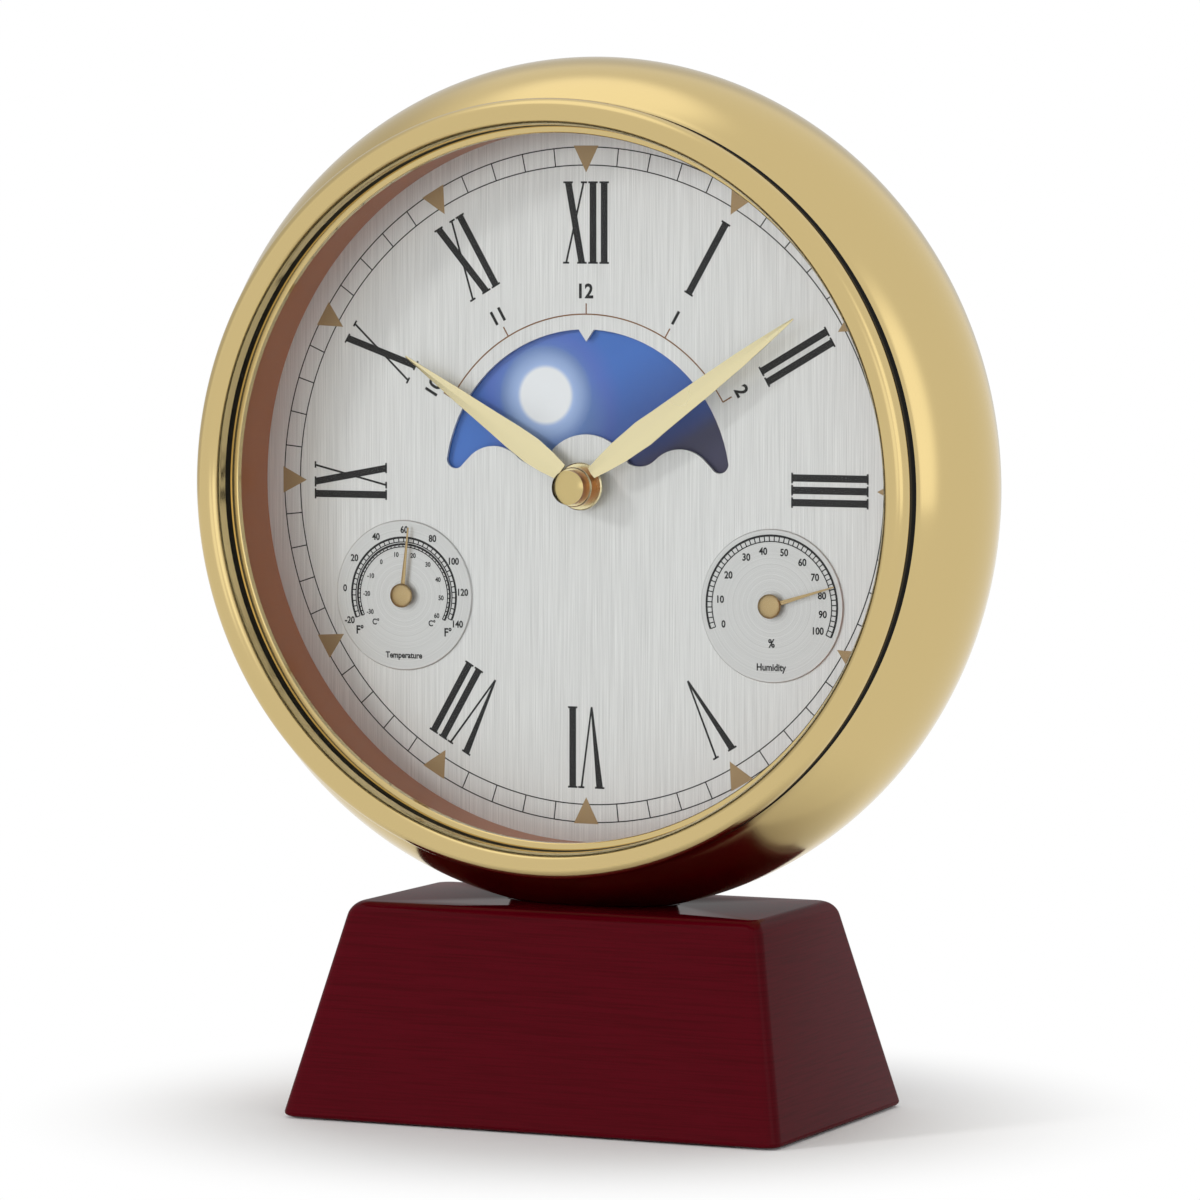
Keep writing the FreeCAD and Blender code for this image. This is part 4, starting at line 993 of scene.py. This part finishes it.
@dataclass
class Hands:
    """Hour hand, minute hand and the domed cap."""

    hour_angle: float = -56.5
    minute_angle: float = 54.4
    hour_back: float = DIAL_Y - 3.2  # depth of its rear face
    minute_back: float = DIAL_Y - 6.8
    heights: Point3 = (0.45, 0.5, 0.55)  # as in blade
    tube: Outline = (
        (1.93, DIAL_Y - 3.6), (1.93, -10.5), (4.0, -10.5), (4.1, -10.4), (4.1, DIAL_Y - 3.6))
    cap_radius: float = 3.8
    cap_height: float = 3.7  # above the minute hand
    dome: float = 0.9
    groove: float = 0.1  # step that the band of painted amber reflection fills
    dome_steps: int = 12
    steps: int = 96

    HOUR = (
        (5.5, 1.9), (10.0, 2.7), (14.0, 3.05), (19.5, 2.8), (25.0, 2.35), (36.0, 1.5), (47.0, 0.5),
        (51.3, 0.15))
    MINUTE = (
        (5.5, 1.3), (9.0, 1.95), (13.5, 2.55), (20.8, 3.0), (25.4, 2.75), (37.4, 2.27), (48.8, 1.65),
        (55.0, 1.15), (62.0, 0.45), (64.5, 0.15))
    HOUR_COLLAR = ((1.93, 0.0), (1.93, -0.5), (5.1, -0.5), (5.3, -0.35), (5.35, 0.0))
    MINUTE_COLLAR = ((1.03, 0.0), (1.03, -0.5), (4.2, -0.5), (4.4, -0.3), (4.4, 0.0))

    def build(self) -> None:
        """Build the hands where the clock shows nine past ten."""
        hour = blade(self.HOUR, self.hour_angle, self.hour_back, self.heights)
        self._turn(hour, self.HOUR_COLLAR, self.hour_back)
        hour.place("hour_pointer", Seat("hour_train", "hour_hand", GOLD_HAND), 20.0, True)
        # The hour tube's dark amber colour is a painted reflection.
        tube = self._turn(MeshBuilder(), self.tube)
        tube.place("hour_tube", Seat("hour_train", "hour_hand", GOLD_PAINTED_REFLECTION), 20.0)
        minute = blade(self.MINUTE, self.minute_angle, self.minute_back, self.heights)
        self._turn(minute, self.MINUTE_COLLAR, self.minute_back)
        minute.place("minute_pointer", Seat("minute_train", "minute_hand", GOLD_HAND), 20.0, True)
        self._cap(self.minute_back - self.heights[1])

    def _cap(self, rear: float) -> None:
        """Build the cap and the band of painted amber reflection round its side.

        Args:
            rear: Depth of its rear face.
        """
        front = rear - self.cap_height
        ball = (self.cap_radius ** 2 + self.dome ** 2) / (2 * self.dome)
        sweep = math.degrees(math.asin(self.cap_radius / ball))
        core, lip = self.cap_radius - self.groove, front + self.dome + self.groove
        profile = [(0.0, rear), (core, rear), (core, lip), (self.cap_radius, lip)]
        profile += arc_points((0.0, front + ball), ball, sweep - 90.0, -90.0, self.dome_steps)[:-1]
        cap = self._turn(MeshBuilder(), [*profile, (0.0, front)])
        cap.place("center_cap", Seat("minute_train", "hand_cap", GOLD), 40.0, True)
        # A thin band in the groove of the cap's side carries the painted amber reflection.
        inner, outer, top = core + HAIR, self.cap_radius - 2 * HAIR, lip + HAIR
        side = self._turn(MeshBuilder(), ((inner, rear), (inner, top), (outer, top), (outer, rear)))
        side.place("cap_side_painted_reflection", Seat("minute_train", "hand_cap", GOLD_PAINTED_REFLECTION), 20.0)

    def _turn(self, builder: MeshBuilder, profile: Outline, back: float = 0.0) -> MeshBuilder:
        """Return the builder with a turned profile whose depths count from the back."""
        return builder.lathe([(radius, back + depth) for radius, depth in profile], steps=self.steps)


@dataclass
class Instrument:
    """Thermometer or hygrometer on the dial."""

    name: str
    root: str
    center: Point2
    angle: float
    length: float
    scales: Callable[["Instrument"], None]  # function that prints its own scales
    tail: Outline = ((-2.4, 0.5), (0.0, 0.55))  # the pointer up to its centre, as in blade
    tip: float = 0.13  # half width of its end
    collar: Point3 = (0.53, 1.5, 1.6)  # its bore, front radius and rear radius
    bore: float = 0.9  # radius of the plate's hole
    radius: float = 16.9
    chamfer: float = 0.2  # bevel of the plate's edge
    heavy: float = 0.24  # half width of a scale's outer arc
    light: float = 0.12  # half width of its inner arc and its ticks
    stretch: float = 0.88  # horizontal stretch of the words
    boss: float = 2.7  # radius of the pointer's cap
    boss_height: float = 1.0  # height of that cap
    boss_side: float = 0.12  # height of its upright side
    heights: Point3 = (0.2, 0.3, 0.0)  # of the pointer, as in blade
    plate_steps: int = 160
    steps: int = 64

    FACE = DIAL_Y - 0.5
    POINTER_BACK = DIAL_Y - 1.5

    def build(self) -> None:
        """Dress the plate, print its scales and build the pointer."""
        finish = Finish(
            self.name + "_silver", (0.80, 0.80, 0.80), 0.55, 0.34, Grain.ROUND_BRUSH, (0.42, 0.42, 0.42),
            center=self.center)
        plate = MeshBuilder().lathe([
            (self.bore, DIAL_Y), (self.bore, self.FACE), (self.radius - self.chamfer, self.FACE),
            (self.radius, self.FACE + self.chamfer), (self.radius, DIAL_Y)], self.center, self.plate_steps)
        plate.place(self.name + "_plate", Seat(self.root, self.name + "_dial", finish), stands_in=True)
        self.scales(self)
        self._pointer()

    def ladder(self, tag: str, inner: float, outer: float, start: float, end: float, count: int) -> None:
        """Print two arcs with ticks between them.

        Args:
            tag: Name of the scale.
            inner: Inner radius.
            outer: Outer radius.
            start: First angle.
            end: Last angle.
            count: Number of spaces.
        """
        ink = Seat(self.root, self.name + "_dial", INK)
        front, back = self.FACE - PRINT, self.FACE + PRINT
        arcs = MeshBuilder()
        for radius, half in ((inner, self.light), (outer, self.heavy)):
            arcs.band(radius - half, radius + half, start, end, front, back, self.center)
        arcs.place(f"{self.name}_{tag}_arcs", ink, 0.0)
        tick = MeshBuilder().prism(bar(self.light, inner, outer, self.center), front - TICK_LIFT, back)
        RadialArray(count + 1, (end - start) / count, start, self.center).build(
            f"{self.name}_{tag}_ticks", tick, ink, 0.0)

    def print_words(self, words: Iterable[tuple[str, float, float, float]]) -> None:
        """Print upright words.

        Args:
            words: Each text with its radius, angle and figure height.
        """
        lettering = Lettering(self.FACE)
        for text, radius, angle, size in words:
            lettering.add(text, turned(0.0, radius, angle, self.center), size, 0.0, self.stretch)
        lettering.build(self.name + "_words", Seat(self.root, self.name + "_dial", INK))

    def _pointer(self) -> None:
        """Build the tapered pointer and its brass cap."""
        back, front = self.POINTER_BACK, self.POINTER_BACK - self.heights[1]
        shape = (*self.tail, (self.length, self.tip))
        needle = blade(shape, self.angle, back, self.heights, self.center)
        hole, near, far = self.collar
        needle.lathe([(hole, back), (hole, front), (near, front), (far, back)], self.center, self.steps)
        body = self.name + "_needle"
        needle.place(self.name + "_hand", Seat(body, self.name + "_pointer", GOLD_PIN), 20.0, True)
        side, dome = front - self.boss_side, self.boss_height - self.boss_side
        profile = [(0.0, front), (self.boss, front)]
        profile += [(self.boss * c, side - dome * s) for c, s in arc_points((0.0, 0.0), 1.0, 0.0, 90.0, 12)]
        profile[-1] = (0.0, front - self.boss_height)
        boss = MeshBuilder().lathe(profile, self.center, self.steps)
        boss.place(self.name + "_boss", Seat(body, self.name + "_cap", GOLD_PIN), 40.0, True)


def thermometer_scales(unit: Instrument) -> None:
    """Print the Fahrenheit and Celsius scales.

    Args:
        unit: The thermometer.
    """
    unit.ladder("outer", 12.0, 13.0, -114.0, 114.0, 40)
    unit.ladder("inner", 10.9, 11.5, -114.8, 118.0, 45)
    words = [(str(value), 14.8, -113.5 + 28.5 * i, 1.5) for i, value in enumerate(range(-20, 141, 20))]
    words += [(str(value), 9.3, -114.8 + 25.87 * i, 1.05) for i, value in enumerate(range(-30, 61, 10))]
    words += [("F°", 13.6, 126.0, 1.8), ("F°", 13.6, -126.0, 1.8)]
    words += [("C°", 9.3, 131.0, 1.3), ("C°", 9.3, -131.0, 1.3), ("Temperature", 13.7, 180.0, 1.35)]
    unit.print_words(words)


def hygrometer_scales(unit: Instrument) -> None:
    """Print the humidity scale, whose figures aren't evenly spaced.

    Args:
        unit: The hygrometer.
    """
    angles = (-110.3, -84.4, -57.3, -29.5, -9.6, 14.1, 36.6, 57.4, 77.7, 97.1, 115.0)
    unit.ladder("outer", 14.2, 15.5, angles[0], angles[-1], 50)
    words = [(str(10 * i), 12.2, angle, 1.55) for i, angle in enumerate(angles)]
    words += [("%", 8.2, 180.0, 1.8), ("Humidity", 13.7, 180.0, 1.5)]
    unit.print_words(words)


@dataclass
class WoodenBase:
    """Lacquered block with rounded edges and the seat of the drum."""

    root: str
    low: float = 0.4  # height of its underside
    high: float = 47.6  # height of its top
    foot: Point2 = (119.98, 74.98)  # width and depth at the underside
    top: Point2 = (99.2, 47.4)  # width and depth at the top
    foot_round: float = 1.2  # rounding of the lower edge
    top_round: Point2 = (2.4, 3.0)  # inset and height of the upper edge's rounding
    corner: float = 3.0  # radius of the upright corners
    steps: int = 8
    seat_crest: float = 95.1  # radius of the seat in the middle, a hair more than the drum's
    seat_steps: int = 40
    smooth_angle: float = 30.0

    def build(self) -> None:
        """Build the block and cut the seat of the drum."""
        quarter = arc_points((0.0, 0.0), 1.0, 0.0, 90.0, self.steps)
        inset, rise = self.top_round
        edges = [(self.low + self.foot_round * (1 - c), self.foot_round * (1 - s)) for c, s in quarter]
        edges += [(self.high - rise * (1 - s), inset * (1 - c)) for c, s in quarter]
        block = MeshBuilder().loft([self._section(*edge) for edge in edges])
        piece = block.place("wood_block", Seat(self.root, "base_block", LACQUER), self.smooth_angle)
        self._cut_seat(piece)
        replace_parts(piece, "base_block")

    def _section(self, height: float, inset: float) -> list[Point3]:
        """Draw a rounded rectangle.

        Args:
            height: Height above the table.
            inset: How far it lies inside the block's flat sides.

        Returns:
            Its corners.
        """
        share = (height - self.low) / (self.high - self.low)
        across, along = (
            (low + share * (high - low)) / 2 - inset - self.corner for low, high in zip(self.foot, self.top))
        points = []
        for right, back, start in ((1, 1, 0.0), (-1, 1, 90.0), (-1, -1, 180.0), (1, -1, 270.0)):
            arc = arc_points((right * across, back * along), self.corner, start, start + 90.0, self.steps)
            points += [(x, y, height - AXIS_Z) for x, y in arc]
        return points

    def _cut_seat(self, piece: Object) -> None:
        """Cut the barrel's seat into the top with a boolean, baked at once.

        Args:
            piece: The block.
        """
        barrel = Barrel()
        arc = barrel.arc(self.seat_crest, 0.0, barrel.half, self.seat_steps)
        builder = MeshBuilder().lathe([(0.0, -barrel.half), *arc, (0.0, barrel.half)], steps=360)
        cutter = linked("seat_cutter", builder.mesh("seat_cutter"))
        modifier = piece.modifiers.new("seat", "BOOLEAN")
        modifier.operation = "DIFFERENCE"
        modifier.solver = "EXACT"
        modifier.object = cutter
        mesh = baked(piece)
        piece.modifiers.remove(modifier)
        piece.data = mesh
        mesh.set_sharp_from_angle(angle=math.radians(self.smooth_angle))
        bpy.data.objects.remove(cutter, do_unlink=True)


@dataclass
class Rear:
    """Finishes of all that is seen from behind or inside, and the cover's screws."""

    root: str
    nodes: dict
    screw_ring: float = 79.0  # distance of the screws from the hand axis
    # Profile of a screw
    screw: Outline = (
        (0.0, 17.0), (1.2, 17.0), (1.2, 21.0), (2.4, 21.0), (2.4, 21.75), (2.05, 22.0), (0.0, 22.0))
    # Raised quarter of its head, between the arms of the cross
    raised: Outline = ((0.28, 0.28), (1.7, 0.28), (1.03, 1.03), (0.28, 1.7))
    raised_depth: Point2 = (21.95, 22.2)  # rear end of the recess and of the head

    PAINT = {
        STEEL: (
            "base_screws", "mount_saddle", "movement_screws", "stator_plate", "coil_core", "quartz_crystal",
            "battery_contacts", "thermometer_cup", "hygrometer_cup", "cover_screws"),
        PLASTIC: ("dial_support", "retaining_ring", "movement_case_front", "movement_case_rear", "set_knob"),
        NYLON: (
            "mid_plate", "train_bridge", "rotor", "step_wheel", "seconds_wheel", "third_wheel",
            "center_wheel", "minute_wheel", "hour_wheel", "moon_idler", "moon_wheel"),
        GOLD_HAND: (
            "minute_arbor", "thermometer_coil", "thermometer_arbor", "hygrometer_coil", "hygrometer_arbor"),
        FELT: ("base_felt",), COPPER: ("drive_coil",), BOARD: ("circuit_board",), CELL: ("battery",),
        COVER: ("rear_cover",), PrintedSky(): ("moon_disc",),
    }

    def build(self) -> None:
        """Paint the CAD nodes and put cross-head screws in place of the plain ones."""
        for finish, nodes in self.PAINT.items():
            for node in nodes:
                paint(self.nodes[node], finish)
        head = MeshBuilder().lathe(self.screw, (0.0, self.screw_ring), 48)
        for right, up in ((1, 1), (-1, 1), (-1, -1), (1, -1)):
            head.prism([(right * x, self.screw_ring + up * z) for x, z in self.raised], *self.raised_depth)
        seat = Seat(self.root, "cover_screws", STEEL)
        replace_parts(RadialArray(4, 90.0, 45.0).build("cover_screw_heads", head, seat, 30.0), "cover_screws")


def heading(azimuth: float, elevation: float) -> Vector:
    """Return the unit vector from the clock to an azimuth, right of the front, and elevation."""
    a, e = math.radians(azimuth), math.radians(elevation)
    return Vector((math.sin(a) * math.cos(e), -math.cos(a) * math.cos(e), math.sin(e)))


def aimed(direction: Vector) -> Any:
    """Return the rotation of a light, card or camera that faces a direction."""
    return direction.to_track_quat("-Z", "Y").to_euler()


def flat(name: str, size: Point2, material: bpy.types.Material) -> Object:
    """Make a flat rectangle about the origin.

    Args:
        name: Name of the object.
        size: Width and depth in metres.
        material: Its material.

    Returns:
        The new object.
    """
    x, y = size[0] / 2, size[1] / 2
    mesh = bpy.data.meshes.new(name)
    mesh.from_pydata([(-x, -y, 0), (x, -y, 0), (x, y, 0), (-x, y, 0)], [], [(0, 1, 2, 3)])
    mesh.materials.append(material)
    return linked(name, mesh)


@dataclass(frozen=True)
class Lamp:
    """Soft light that the polished metal doesn't mirror; the cards are there for that."""

    name: str
    place: Point3
    size: Point2
    power: float

    def build(self) -> None:
        """Build the light, facing the middle of the clock."""
        light = bpy.data.lights.new(self.name, "AREA")
        light.shape = "RECTANGLE"
        light.size, light.size_y = self.size
        light.energy = self.power
        lamp = linked(self.name, light)
        lamp.location = self.place
        lamp.rotation_euler = aimed(Vector(MIDDLE) - Vector(self.place))
        lamp.visible_glossy = False


@dataclass(frozen=True)
class Card:
    """Card with a soft edge that only the polished metal and the lacquer mirror."""

    name: str
    direction: Point2  # azimuth and elevation from the middle of the clock
    distance: float
    size: Point2
    strength: float
    core: float = 0.45  # share of its half size that is fully bright

    def build(self) -> None:
        """Build the card, facing the middle of the clock."""
        away = heading(*self.direction)
        card = flat(self.name, self.size, self._material())
        card.location = Vector(MIDDLE) + away * self.distance
        card.rotation_euler = aimed(-away)
        card.visible_camera = card.visible_shadow = card.visible_diffuse = card.visible_transmission = False

    def _material(self) -> bpy.types.Material:
        """Return a glow that fades toward the edge.

        Returns:
            The material.
        """
        material, net, _ = new_material(self.name)
        shares = (2.0 / self.size[0], 2.0 / self.size[1], 0.0)
        length = net.vector("LENGTH", net.vector("MULTIPLY", net.place(), shares))
        clear = net.add("ShaderNodeBsdfTransparent")
        net.finish(net.mix(net.fade(length, 1.0, self.core), clear, net.glow(self.strength)))
        return material


MIDDLE = (0.0, 0.0, 0.13)
LAMPS = (
    Lamp("key", (-1.60, -1.95, 1.15), (0.35, 0.35), 27.0),
    Lamp("front", (0.6, -2.4, 0.6), (1.8, 1.2), 12.0),
    Lamp("side", (1.9, 0.2, 0.6), (1.2, 2.0), 5.0),
    Lamp("top", (0.2, 0.5, 1.8), (1.8, 1.0), 6.0),
)
CARDS = (
    Card("card_right", (60.0, 8.0), 1.5, (1.1, 2.2), 1.55),
    Card("card_camera", (28.0, 6.0), 2.2, (1.6, 1.3), 1.4),
    Card("card_top", (-80.0, 74.0), 1.5, (1.4, 1.4), 1.5),
    Card("card_left", (-105.0, 18.0), 1.9, (3.8, 2.6), 0.70),
    Card("card_back", (-158.0, 18.0), 2.0, (2.6, 2.6), 0.72),
)


@dataclass
class Studio:
    """World, floor, lights, cards and the camera of the photograph."""

    room: float = 0.5
    horizon: Point3 = (0.45, 0.44, 0.42)  # colour of the room below
    horizon_band: Point2 = (0.30, 0.75)  # share of the height where it turns white
    floor_size: float = 12.0
    floor_color: Point3 = (0.93, 0.93, 0.93)
    floor_gloss: Point2 = (0.8, 0.1)  # roughness and level of the plain gloss
    fade: Point2 = (0.055, 0.135)  # metres from the middle, where the floor turns white
    camera_heading: Point2 = (24.313, 2.740)  # azimuth and elevation of the camera from the dial
    camera_distance: float = 1.392  # its distance from the dial in metres
    camera_turn: Point2 = (0.126, 1.043)  # how far it aims to the right of the dial and below it
    lens: float = 188.18
    sensor: float = 36.0
    clip: Point2 = (0.05, 30.0)

    def build(self) -> None:
        """Build the stage."""
        self._world()
        floor = flat("floor", (self.floor_size, self.floor_size), self._floor_material())
        for light in (*LAMPS, *CARDS):
            light.build()
        self._camera()

    def _world(self) -> None:
        """Make a world that is seen white and lights like a room."""
        world = bpy.data.worlds.new("studio")
        bpy.context.scene.world = world
        world.use_nodes = True
        net = Net(world.node_tree)
        net.tree.nodes.clear()
        white = net.add("ShaderNodeBackground", {"Color": (*WHITE, 1.0), "Strength": 1.0})
        up = net.add("ShaderNodeSeparateXYZ", {0: net.place("Generated")}, "Z")
        share = net.add("ShaderNodeMapRange", {"Value": up, "From Min": -1.0})
        low, high = self.horizon_band
        color = net.ramp(share, ((low, self.horizon), (high, WHITE)))
        room = net.add("ShaderNodeBackground", {"Color": color, "Strength": self.room})
        net.feed(net.tree.nodes.new("ShaderNodeOutputWorld"), {"Surface": net.mix(net.seen(), room, white)})

    def _floor_material(self) -> bpy.types.Material:
        """Make a pale floor that keeps the shadow near the clock and is seen white further out.

        Returns:
            The material.
        """
        material, net, shader = new_material("floor_pale")
        rough, gloss = self.floor_gloss
        net.feed(shader, {
            "Base Color": (*self.floor_color, 1.0), "Roughness": rough, "Specular IOR Level": gloss})
        share = net.math("MULTIPLY", net.fade(net.vector("LENGTH", net.place()), *self.fade), net.seen())
        net.finish(net.mix(share, shader.outputs[0], net.glow(1.0)))
        return material

    def _camera(self) -> None:
        """Set up the camera, fitted to the dial, the drum and the base."""
        back = heading(*self.camera_heading)
        right = (-back).cross(Vector((0.0, 0.0, 1.0))).normalized()
        to_right, down = (math.tan(math.radians(angle)) for angle in self.camera_turn)
        camera = bpy.data.cameras.new("photo_camera")
        camera.sensor_width = self.sensor
        camera.lens = self.lens
        camera.clip_start, camera.clip_end = self.clip
        holder = linked("photo_camera", camera)
        holder.location = Vector((0.0, DIAL_Y, AXIS_Z)) * MM + back * self.camera_distance
        holder.rotation_euler = aimed(-back + right * to_right - right.cross(-back) * down)
        bpy.context.scene.camera = holder


def main() -> None:
    """Load the frame, dress the clock and light it."""
    logging.basicConfig(level=logging.INFO)
    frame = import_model()
    nodes = frame["nodes"]
    bpy.context.scene.view_settings.view_transform = "Standard"
    assemblies = (
        Case("root"), Dial("root", nodes), Rear("root", nodes), Hands(),
        Instrument("thermometer", "root", (-44.8, -25.5), 6.0, 15.4, thermometer_scales),
        Instrument("hygrometer", "root", (44.8, -25.5), 73.0, 15.8, hygrometer_scales),
        WoodenBase("root"), Studio())
    for assembly in assemblies:
        assembly.build()


if __name__ == "__main__":
    main()
